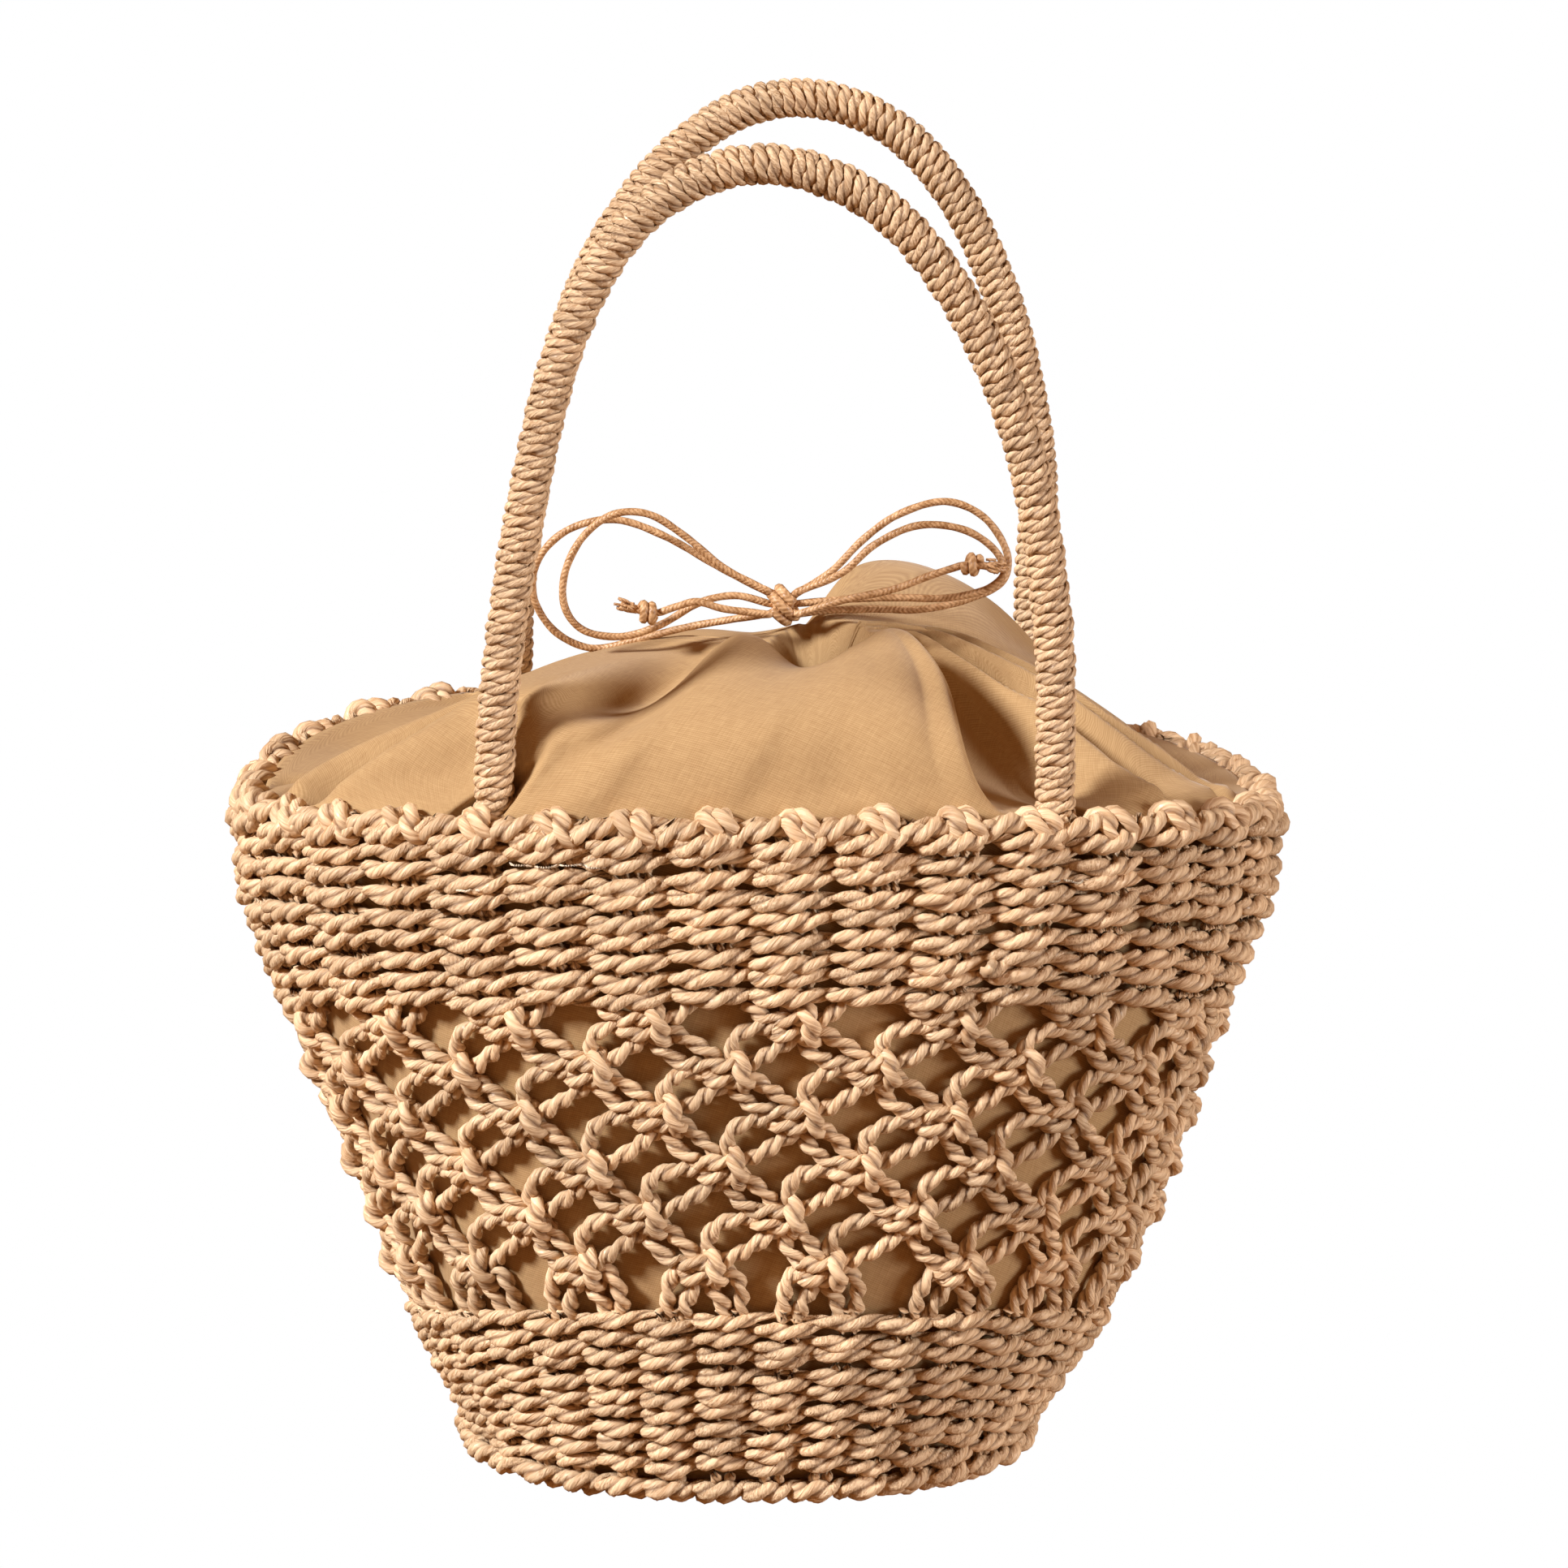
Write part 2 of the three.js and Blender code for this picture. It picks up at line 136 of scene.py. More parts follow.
def spline(controls: Array, per_span: int = 8) -> Array:
    """Runs a smooth curve through control points.

    Args:
        controls: Points along the second to last axis.
        per_span: Steps between two control points.

    Returns:
        The curve's points along the same axis, both ends included.
    """
    first = 2 * controls[..., :1, :] - controls[..., 1:2, :]
    last = 2 * controls[..., -1:, :] - controls[..., -2:-1, :]
    row = np.concatenate([first, controls, last], axis=-2)
    a, b, c, d = (row[..., i:row.shape[-2] - 3 + i, None, :] for i in range(4))
    t = (np.arange(per_span) / per_span)[:, None]
    spans = b + 0.5 * t * ((c - a) + t * ((2 * a - 5 * b + 4 * c - d) + t * (3 * b - a - 3 * c + d)))
    curve = spans.reshape(*controls.shape[:-2], -1, controls.shape[-1])
    return np.concatenate([curve, controls[..., -1:, :]], axis=-2)


def even(points: Array, count: int, *others: Array) -> list[Array]:
    """Spaces the points of several lines evenly along their length.

    Args:
        points: Lines by points by coordinates.
        count: Points that each line gets.
        *others: Arrays of the same lines and points that are carried along.

    Returns:
        The evenly spaced points, then each of the others at those points.
    """
    steps = np.linalg.norm(np.diff(points, axis=1), axis=-1)
    along = np.concatenate([np.zeros((len(points), 1)), np.cumsum(steps, axis=1)], axis=1)
    results = []
    for values in (points, *others):
        out = np.empty((len(points), count, values.shape[-1]))
        for i, line in enumerate(values):
            goal = np.linspace(0, along[i, -1], count)
            for k in range(values.shape[-1]):
                out[i, :, k] = np.interp(goal, along[i], line[:, k])
        results.append(out)
    return results


def line_length(points: Array) -> float:
    """Measures one line's length."""
    return float(np.linalg.norm(np.diff(points, axis=0), axis=1).sum())


def ripple(rng: np.random.Generator, lines: int, knots: int, at: Array) -> Array:
    """Gives each line its own smooth closed wobble between -1 and 1.

    Args:
        rng: The seeded source of the wobble.
        lines: How many lines.
        knots: How many free values each line has round its loop.
        at: Where along the loop to read it, in knots.

    Returns:
        Lines by places.
    """
    values = rng.uniform(-1, 1, (lines, knots))
    low = np.floor(at).astype(int)
    share = at - low
    ease = share * share * (3 - 2 * share)
    return values[:, low % knots] * (1 - ease) + values[:, (low + 1) % knots] * ease


@dataclass
class Patch:
    """A swept piece of mesh, with what its material reads.

    Points are in millimetres, quad_uv holds millimetres along the strand and the place across its
    plies, and tone is how dark or light a strand came out.
    """

    points: Array
    quads: Array
    caps: Array
    quad_uv: Array
    tone: Array


def make_piece(
    name: str, patches: list[Patch], material: bpy.types.Material, slot: Slot, *nodes: str
) -> bpy.types.Object:
    """Joins patches into one smooth piece on the bag's one body.

    Args:
        name: The piece's name.
        patches: The patches.
        material: The finish of the whole piece.
        slot: Not used.
        *nodes: The CAD nodes that it stands for.

    Returns:
        The piece, linked into the scene.
    """
    starts = np.cumsum([0] + [len(p.points) for p in patches[:-1]])
    points = np.concatenate([p.points for p in patches]) * MM
    corners = [p.quads.ravel() + start for p, start in zip(patches, starts)]
    corners += [p.caps.ravel() + start for p, start in zip(patches, starts)]
    quad_count = sum(len(p.quads) for p in patches)
    cap_sizes = [p.caps.shape[1] for p in patches for _ in range(len(p.caps))]
    totals = np.concatenate([np.full(quad_count, 4), np.array(cap_sizes, int)])
    corner_index = np.concatenate(corners).astype(np.int32)
    uv = np.zeros((len(corner_index), 2), np.float32)
    uv[:quad_count * 4] = np.concatenate([p.quad_uv.reshape(-1, 2) for p in patches])

    mesh = bpy.data.meshes.new(name)
    mesh.vertices.add(len(points))
    mesh.vertices.foreach_set("co", points.astype(np.float32).ravel())
    mesh.loops.add(len(corner_index))
    mesh.loops.foreach_set("vertex_index", corner_index)
    mesh.polygons.add(len(totals))
    mesh.polygons.foreach_set("loop_start", (np.cumsum(totals) - totals).astype(np.int32))
    mesh.polygons.foreach_set("use_smooth", np.ones(len(totals), bool))
    mesh.uv_layers.new(name="strand").data.foreach_set("uv", uv.ravel())
    tone = mesh.attributes.new("tone", "FLOAT", "POINT")
    tone.data.foreach_set("value", np.concatenate([p.tone for p in patches]).astype(np.float32))
    mesh.update(calc_edges=True)
    mesh.materials.append(material)
    piece = bpy.data.objects.new(name, mesh)
    bpy.context.scene.collection.objects.link(piece)
    triangles = quad_count * 2 + sum(size - 2 for size in cap_sizes)
    log.info("%s: %d triangles", name, triangles)
    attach(piece, BODY)
    if nodes:
        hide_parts(*nodes)
    return piece


@dataclass(frozen=True)
class Rope:
    """A strand laid up from plies twisted against the sun, as a sweep along lines.

    Attributes:
        radius: Outer radius.
        pitch: Length of one full turn of the plies.
        sides: Points round the section.
        groove: Radius in the groove between plies, as a share of the outer one.
        squeeze: Thickness towards the wall as a share of the width.
        stray: How far the plies' turn strays, in radians.
        bulge: How much fatter one side of the rope is, as a share.
    """

    radius: float
    pitch: float
    sides: int = 8
    plies: int = 2
    groove: float = 0.66
    squeeze: float = 1.0
    stray: float = 0.0
    bulge: float = 0.0

    def sweep(
        self,
        lines: Array,
        outward: Array,
        swell: Array | float = 1.0,
        tone: Array | float = 0.5,
        closed: bool = False,
        phase: Array | float = 0.0,
    ) -> Patch:
        """Sweeps the rope along lines that all have the same number of points.

        Args:
            lines: Lines by points by coordinates.
            outward: The section's reference direction, at each point or everywhere.
            swell: Radius at each point as a share of the rope's.
            tone: Lightness of each line or point.
            closed: Whether each line's end joins its start.
            phase: Turn of the plies at the start of each line.

        Returns:
            The swept patch.
        """
        count, steps, _ = lines.shape
        if closed:
            ahead = np.roll(lines, -1, axis=1)
            tangent = unit(ahead - np.roll(lines, 1, axis=1))
            pace = np.linalg.norm(ahead - lines, axis=-1)
        else:
            tangent = unit(np.gradient(lines, axis=1))
            pace = np.linalg.norm(np.diff(lines, axis=1), axis=-1)
        along = np.concatenate([np.zeros((count, 1)), np.cumsum(pace, axis=1)], axis=1)
        turns = along / self.pitch
        if closed:
            whole = np.maximum(np.round(turns[:, -1:]), 1)
            turns = turns * whole / np.maximum(turns[:, -1:], 1e-9)
        normal = unit(outward - np.sum(outward * tangent, axis=-1, keepdims=True) * tangent)
        binormal = np.cross(tangent, normal)

        corner = math.tau * np.arange(self.sides) / self.sides
        lobes = self.groove + (1 - self.groove) * np.abs(np.sin(corner * self.plies / 2))
        lobes = lobes * (1 + self.bulge * np.cos(corner))
        turn = np.broadcast_to(np.asarray(phase, float), (count,))[:, None, None]
        # The hand's uneven twist is two waves out of step, other ones in each line. It dies out at the
        # ends, so that a closed rope meets itself.
        here = along[:, :steps] / self.pitch
        ends = np.clip(np.minimum(here, here[:, -1:] - here), 0, 1)
        which = np.arange(count)[:, None]
        uneven = ends * (np.sin(5.0 * here + 1.7 * which) + np.sin(7.3 * here + 2.9 * which))
        angle = corner - math.tau * turns[:, :steps, None] + turn + self.stray * uneven[..., None]
        size = np.broadcast_to(np.asarray(swell, float), (count, steps))[..., None] * self.radius * lobes
        points = (
            lines[:, :, None, :]
            + (size * np.cos(angle) * self.squeeze)[..., None] * normal[:, :, None, :]
            + (size * np.sin(angle))[..., None] * binormal[:, :, None, :]
        )

        index = np.arange(count * steps * self.sides).reshape(count, steps, self.sides)
        ahead_index = np.roll(index, -1, axis=1) if closed else index[:, 1:]
        here_index = index if closed else index[:, :-1]
        quads = np.stack(
            [here_index, np.roll(here_index, -1, 2), np.roll(ahead_index, -1, 2), ahead_index], axis=-1
        )
        rings = here_index.shape[1]
        u0 = np.broadcast_to(along[:, :rings, None], here_index.shape)
        u1 = np.broadcast_to(along[:, 1:rings + 1, None], here_index.shape)
        v0 = np.broadcast_to(np.arange(self.sides) * self.plies / self.sides + 0.5, here_index.shape)
        v1 = v0 + self.plies / self.sides
        uv = np.stack([np.stack(pair, -1) for pair in ((u0, v0), (u0, v1), (u1, v1), (u1, v0))], axis=-2)
        caps = np.empty((0, self.sides), int)
        if not closed:
            caps = np.concatenate([index[:, 0, ::-1], index[:, -1]])
        shade = np.asarray(tone, float)
        shade = shade[:, None] if shade.ndim == 1 else shade
        shade = np.broadcast_to(shade, (count, steps))[..., None]
        return Patch(
            points.reshape(-1, 3),
            quads.reshape(-1, 4),
            caps,
            uv.reshape(-1, 4, 2),
            np.broadcast_to(shade, (count, steps, self.sides)).ravel(),
        )


@dataclass
class BagWall:
    """The bag's outer face, lofted through superelliptic rings that dip at the sides.

    Each row of rings is half width, half depth, the height at the left, right, front, back left and
    back right, and how far the ring sits to the right.
    """

    rings: Array = field(default_factory=lambda: np.array([
        (76.5, 66.0, 0.0, 0.0, 0.0, 0.0, 0.0, -4.0),
        (82.5, 74.5, 8.7, 8.7, 8.7, 8.7, 8.7, -2.5),
        (103.0, 88.0, 41.0, 41.0, 60.0, 60.0, 60.0, 1.0),
        (119.5, 95.0, 85.0, 85.0, 104.0, 104.0, 104.0, 1.8),
        (134.5, 100.0, 128.0, 128.0, 148.0, 148.0, 148.0, -0.5),
        (148.0, 101.5, 163.0, 163.0, 176.0, 180.0, 176.0, 0.0),
        (149.0, 101.0, 196.0, 193.5, 203.0, 217.0, 203.5, 0.0),
    ]))
    plan_power: float = 2.3
    lift_power: float = 1.3
    table_steps: int = 1440

    def __post_init__(self) -> None:
        """Measures each ring, so that a share round it is an equal length everywhere."""
        self.angles = np.linspace(-math.pi / 2, 1.5 * math.pi, self.table_steps + 1)
        self.shares = []
        self.girths = []
        for half_width, half_depth, *_ in self.rings:
            x, y = self._outline(half_width, half_depth, self.angles)
            run = np.concatenate([[0], np.cumsum(np.hypot(np.diff(x), np.diff(y)))])
            self.shares.append(run / run[-1])
            self.girths.append(run[-1])

    def _outline(self, half_width: Array, half_depth: Array, angle: Array) -> tuple[Array, Array]:
        """Gives the plan's points at the angles.

        Args:
            half_width: Half the plan's width.
            half_depth: Half its depth.
            angle: Angles about its centre.

        Returns:
            Places across and deep.
        """
        c, s, n = np.cos(angle), np.sin(angle), self.plan_power
        reach = (np.abs(c / half_width) ** n + np.abs(s / half_depth) ** n) ** (-1 / n)
        return reach * c, reach * s

    def _plan(self, share: Array, level: Array) -> tuple[Array, Array, Array]:
        """Finds places on the outer face as seen from above.

        Args:
            share: Shares round the wall.
            level: Levels up the wall.

        Returns:
            Places across and deep, and the ring there, blended from those below and above.
        """
        low = np.clip(np.floor(level).astype(int), 0, len(self.rings) - 2)
        between = level - low
        ring = self.rings[low] * (1 - between)[..., None] + self.rings[low + 1] * between[..., None]
        turned = np.stack([np.interp(share % 1.0, table, self.angles) for table in self.shares])
        lower = np.take_along_axis(turned, low[None], 0)[0]
        upper = np.take_along_axis(turned, low[None] + 1, 0)[0]
        x, y = self._outline(ring[..., 0], ring[..., 1], lower + (upper - lower) * between)
        return x, y, ring

    def outward(self, share: Array, level: Array) -> Array:
        """Gives the level direction away from the bag at places on its wall.

        Args:
            share: Shares round the wall.
            level: Levels up the wall.

        Returns:
            Unit vectors, one for each place.
        """
        share, level = np.broadcast_arrays(np.asarray(share, float), np.asarray(level, float))
        x, y, ring = self._plan(share, level)
        half_width, half_depth, *_ = np.moveaxis(ring, -1, 0)
        power = self.plan_power - 1
        nx = np.sign(x) * np.abs(x / half_width) ** power / half_width
        ny = np.sign(y) * np.abs(y / half_depth) ** power / half_depth
        return unit(np.stack([nx, ny, np.zeros_like(nx)], axis=-1))

    def place(self, share: Array, level: Array, inset: Array | float) -> Array:
        """Gives points at places on the wall.

        Args:
            share: Shares round the wall.
            level: Levels up the wall.
            inset: How far inside the outer face.

        Returns:
            The points.
        """
        share, level, inset = np.broadcast_arrays(
            np.asarray(share, float), np.asarray(level, float), np.asarray(inset, float)
        )
        x, y, ring = self._plan(share, level)
        half_width, half_depth, left, right, front, back_left, back_right, aside = np.moveaxis(ring, -1, 0)
        across = (x / half_width + 1) / 2
        side = left + (right - left) * across
        back = back_left + (back_right - back_left) * across
        face = np.where(y > 0, back, front)
        z = side + (face - side) * np.abs(y / half_depth) ** self.lift_power
        return np.stack([x + aside, y, z], axis=-1) - inset[..., None] * self.outward(share, level)

    def run(self, places: list[tuple[Array, Array, Array]]) -> tuple[Array, Array]:
        """Runs smooth lines through places on the wall.

        Args:
            places: Shares, levels and insets of each line's control points, point by point.

        Returns:
            Dense points of the lines and their outward directions.
        """
        shares, levels, insets = (np.stack(values, axis=1) for values in zip(*places))
        share, level, inset = np.moveaxis(spline(np.stack([shares, levels, insets], axis=-1)), -1, 0)
        return self.place(share, level, inset), self.outward(share, level)

    def girth(self, level: Array) -> Array:
        """Gives the length once round the wall at the levels."""
        return np.interp(level, np.arange(len(self.girths)), self.girths)

    def rise(self, share: Array, level: Array) -> Array:
        """Gives the length up the wall for one level at the places.

        Args:
            share: Shares round the wall.
            level: Levels up the wall.

        Returns:
            Millimetres for one level.
        """
        nudge = 0.05
        step = self.place(share, level + nudge, 0.0) - self.place(share, level - nudge, 0.0)
        return np.linalg.norm(step, axis=-1) / (2 * nudge)

    def shift(self, share: Array, level: Array, across: Array, up: Array) -> tuple[Array, Array]:
        """Moves places along the wall, by millimetres towards growing share and up."""
        return share + across / self.girth(level), level + up / self.rise(share, level)


@dataclass(frozen=True)
class TwistedPaper:
    """Kraft paper strip twisted into plies: dull, with fine pleats along each ply, painted shade in the
    pleats' creases and painted shade in the grooves between plies.
    """

    # Light and dark are mixed by the pleat pattern; its dark lines are painted shade in the pleats' creases
    light: str = "FADAB2"
    dark: str = "C6996D"
    # Colour of the shade painted into the groove between plies
    groove: str = "6E4220"
    pleats_per_ply: float = 6.0
    pleat_length: float = 8.0
    pleat_lean: float = 0.06
    pleat_depth: float = 0.35
    groove_shade_strength: float = 0.75
    tone_low: float = 0.72
    tone_swing: float = 0.34
    cloud: tuple[float, float] = (0.92, 1.06)
    blotch: float = 28.0
    roughness: float = 0.46

    def material(self) -> bpy.types.Material:
        """Builds the finish.

        Returns:
            A material that reads the strand UVs and the tone of each strand.
        """
        material, tree = new_material("kraft_paper_twisted")
        uv = add_node(tree, "UVMap", uv_map="strand")
        place = add_node(tree, "SeparateXYZ", {0: uv.outputs[0]})
        tone = add_node(tree, "Attribute", attribute_name="tone").outputs["Fac"]
        # Pleats run along the ply and lean a little across it, as a twisted strip's do.
        lean = add_node(tree, "Math", {
            0: place.outputs[0], 1: self.pleat_lean, 2: place.outputs[1]}, operation="MULTIPLY_ADD")
        across = add_node(tree, "Math", {0: lean.outputs[0], 1: self.pleats_per_ply}, operation="MULTIPLY")
        along = add_node(tree, "Math", {0: place.outputs[0], 1: 1 / self.pleat_length},
                         operation="MULTIPLY")
        seed = add_node(tree, "Math", {0: tone, 1: 60.0}, operation="MULTIPLY")
        spot = add_node(tree, "CombineXYZ", {0: along.outputs[0], 1: across.outputs[0], 2: seed.outputs[0]})
        pleat = add_node(tree, "TexNoise", {
            "Vector": spot.outputs[0], "Scale": 1.0, "Detail": 4.0, "Roughness": 0.6})
        sharp = add_node(tree, "MapRange", {0: pleat.outputs[0], "From Min": 0.3, "From Max": 0.58})
        solid = add_node(tree, "TexCoord")
        patch = add_node(tree, "TexNoise", {
            "Vector": solid.outputs["Object"], "Scale": 1 / (self.blotch * MM), "Detail": 2.0})
        # The groove that a ply shares with its neighbour is painted dark, as the shade that falls in it.
        crest = add_node(tree, "Math", {0: place.outputs[1], 1: 0.5}, operation="PINGPONG")
        crease = add_node(tree, "MapRange", {0: crest.outputs[0], "From Min": 0.34, "From Max": 0.5})
        # The pleats' dark lines are painted shade in their creases; the same pattern also bumps the surface
        # and sets its roughness.
        mixed = add_node(tree, "Mix", {
            0: sharp.outputs[0], MIX_A: srgb(self.dark), MIX_B: srgb(self.light)}, data_type="RGBA")
        depth = add_node(tree, "Math", {0: crease.outputs[0], 1: self.groove_shade_strength},
                         operation="MULTIPLY")
        groove_shaded = add_node(tree, "Mix", {
            0: depth.outputs[0], MIX_A: mixed.outputs[MIXED], MIX_B: srgb(self.groove)}, data_type="RGBA")
        # Strands came out lighter or darker, and the dye is a little cloudy.
        swing = add_node(tree, "Math", {
            0: tone, 1: self.tone_swing, 2: self.tone_low}, operation="MULTIPLY_ADD")
        cloud = add_node(tree, "MapRange", {
            0: patch.outputs[0], "From Min": 0.3, "From Max": 0.7, "To Min": self.cloud[0],
            "To Max": self.cloud[1]})
        value = add_node(tree, "Math", {0: swing.outputs[0], 1: cloud.outputs[0]}, operation="MULTIPLY")
        colour = add_node(tree, "HueSaturation", {
            "Value": value.outputs[0], "Color": groove_shaded.outputs[MIXED]})
        height = add_node(tree, "Math", {0: sharp.outputs[0], 1: crease.outputs[0]}, operation="SUBTRACT")
        bump = add_node(tree, "Bump", {
            "Height": height.outputs[0], "Strength": 0.8, "Distance": self.pleat_depth * MM})
        shine = add_node(tree, "MapRange", {
            0: sharp.outputs[0], "To Min": self.roughness + 0.1, "To Max": self.roughness - 0.08})
        shader = add_node(tree, "BsdfPrincipled", {
            "Base Color": colour.outputs[0], "Roughness": shine.outputs[0], "Normal": bump.outputs[0],
            "IOR": 1.5, "Specular IOR Level": 0.35})
        add_node(tree, "OutputMaterial", {0: shader.outputs[0]})
        return material


@dataclass(frozen=True)
class WovenCotton:
    """Plain woven cotton lining: matt, with a fine grid of threads, faint slubs and a soft nap."""

    light: str = "C5A679"
    dark: str = "96724A"
    # A real thread is about 0.4 mm wide; it is drawn coarser, so that the weave shows in a picture.
    thread: float = 0.62
    thread_depth: float = 0.15
    slub: float = 6.0
    roughness: float = 0.85

    def material(self) -> bpy.types.Material:
        """Builds the finish; ribs of thicker thread run one way, with a finer thread across them.

        Returns:
            A material that reads the cloth's UVs, which are millimetres along its threads.
        """
        material, tree = new_material("cotton_plain_woven")
        uv = add_node(tree, "UVMap", uv_map="strand")
        place = add_node(tree, "SeparateXYZ", {0: uv.outputs[0]})
        waves = []
        for axis in (0, 1):
            turn = add_node(tree, "Math", {0: place.outputs[axis], 1: math.tau / self.thread},
                            operation="MULTIPLY")
            waves.append(add_node(tree, "Math", {0: turn.outputs[0]}, operation="SINE").outputs[0])
        ribs = add_node(tree, "Math", {0: waves[0], 1: 0.4, 2: waves[1]}, operation="MULTIPLY_ADD")
        weave = add_node(tree, "MapRange", {0: ribs.outputs[0], "From Min": -1.4, "From Max": 1.4})
        # Thick places in single threads, long one way and a thread or two wide
        slubs = []
        for scale in ((1 / self.slub, 1 / self.thread), (1 / self.thread, 1 / self.slub)):
            spot = add_node(tree, "Mapping", {"Vector": uv.outputs[0], "Scale": (*scale, 1.0)})
            slubs.append(add_node(tree, "TexNoise", {
                "Vector": spot.outputs[0], "Scale": 1.0, "Detail": 2.0}).outputs[0])
        slub = add_node(tree, "Math", {0: slubs[0], 1: slubs[1]}, operation="ADD")
        both = add_node(tree, "Math", {0: slub.outputs[0], 1: 1.3, 2: weave.outputs[0]},
                        operation="MULTIPLY_ADD")
        share = add_node(tree, "MapRange", {0: both.outputs[0], "From Min": 0.6, "From Max": 3.0})
        colour = add_node(tree, "Mix", {
            0: share.outputs[0], MIX_A: srgb(self.dark), MIX_B: srgb(self.light)}, data_type="RGBA")
        bump = add_node(tree, "Bump", {
            "Height": weave.outputs[0], "Strength": 0.15, "Distance": self.thread_depth * MM})
        shader = add_node(tree, "BsdfPrincipled", {
            "Base Color": colour.outputs[MIXED], "Roughness": self.roughness, "Normal": bump.outputs[0],
            "IOR": 1.5, "Specular IOR Level": 0.2, "Sheen Weight": 0.15, "Sheen Roughness": 0.5})
        add_node(tree, "OutputMaterial", {0: shader.outputs[0]})
        return material


@dataclass(frozen=True)
class WaxedCotton:
    """Braided cotton cord pulled through wax: darker tan, half gloss, with a fine herringbone and painted
    glints of light on the wax.
    """

    light: str = "DDB488"
    dark: str = "9E7248"
    braid: float = 1.3
    braid_depth: float = 0.15
    glint_size: float = 1.6
    roughness: float = 0.42

    def material(self) -> bpy.types.Material:
        """Builds the finish.

        Returns:
            A material that reads the strand UVs of a braided cord.
        """
        material, tree = new_material("cotton_cord_waxed")
        uv = add_node(tree, "UVMap", uv_map="strand")
        place = add_node(tree, "SeparateXYZ", {0: uv.outputs[0]})
        # Braided strands meet in chevrons; fine noise paints light flecks on them, as painted glints of
        # light on the wax.
        side = add_node(tree, "Math", {0: place.outputs[1], 1: 1.0}, operation="PINGPONG")
        way = add_node(tree, "Math", {0: place.outputs[0], 1: 1 / self.braid, 2: side.outputs[0]},
                       operation="MULTIPLY_ADD")
        turn = add_node(tree, "Math", {0: way.outputs[0], 1: math.tau}, operation="MULTIPLY")
        cross = add_node(tree, "Math", {0: turn.outputs[0]}, operation="SINE")
        solid = add_node(tree, "TexCoord")
        glint = add_node(tree, "TexNoise", {
            "Vector": solid.outputs["Object"], "Scale": 1 / (self.glint_size * MM), "Detail": 3.0})
        share = add_node(tree, "Math", {0: cross.outputs[0], 1: 0.1, 2: glint.outputs[0]},
                         operation="MULTIPLY_ADD")
        spread = add_node(tree, "MapRange", {0: share.outputs[0], "From Min": 0.3, "From Max": 0.72})
        colour = add_node(tree, "Mix", {
            0: spread.outputs[0], MIX_A: srgb(self.dark), MIX_B: srgb(self.light)}, data_type="RGBA")
        bump = add_node(tree, "Bump", {
            "Height": cross.outputs[0], "Strength": 0.35, "Distance": self.braid_depth * MM})
        shader = add_node(tree, "BsdfPrincipled", {
            "Base Color": colour.outputs[MIXED], "Roughness": self.roughness, "Normal": bump.outputs[0],
            "IOR": 1.45, "Specular IOR Level": 0.5})
        add_node(tree, "OutputMaterial", {0: shader.outputs[0]})
        return material


@dataclass(frozen=True)
class SewingCotton:
    """Off-white sewing thread: soft, slightly furry, with painted shade in the grooves of its twist as faint
    bands.
    """

    light: str = "F4E6CF"
    # Colour of the shade painted into the grooves of the twist
    dark: str = "CDB48E"
    roughness: float = 0.7

    def material(self) -> bpy.types.Material:
        """Builds the finish.

        Returns:
            A material that paints shade into the grooves of the thread's twist, as faint bands.
        """
        material, tree = new_material("cotton_thread_spun")
        uv = add_node(tree, "UVMap", uv_map="strand")
        place = add_node(tree, "SeparateXYZ", {0: uv.outputs[0]})
        crest = add_node(tree, "Math", {0: place.outputs[1], 1: 0.5}, operation="PINGPONG")
        share = add_node(tree, "MapRange", {0: crest.outputs[0], "From Min": 0.1, "From Max": 0.5})
        colour = add_node(tree, "Mix", {
            0: share.outputs[0], MIX_A: srgb(self.light), MIX_B: srgb(self.dark)}, data_type="RGBA")
        shader = add_node(tree, "BsdfPrincipled", {
            "Base Color": colour.outputs[MIXED], "Roughness": self.roughness, "IOR": 1.5,
            "Sheen Weight": 0.2, "Sheen Roughness": 0.5})
        add_node(tree, "OutputMaterial", {0: shader.outputs[0]})
        return material


@dataclass(frozen=True)
class LitAcrylic:
    """The white acrylic sweep that the bag stands on, lit from behind so that no shadow shows on it."""

    shade: str = "FFFFFF"
    glow: float = 1.0

    def material(self) -> bpy.types.Material:
        """Builds the finish.

        Returns:
            A plain even glow on its face, and nothing on its back, so that the bag shows from there too.
        """
        material, tree = new_material("acrylic_sweep_lit")
        behind = add_node(tree, "NewGeometry").outputs["Backfacing"]
        face = add_node(tree, "Emission", {0: srgb(self.shade), 1: self.glow})
        back = add_node(tree, "BsdfTransparent")
        shader = add_node(tree, "MixShader", {0: behind, 1: face.outputs[0], 2: back.outputs[0]})
        add_node(tree, "OutputMaterial", {0: shader.outputs[0]})
        return material


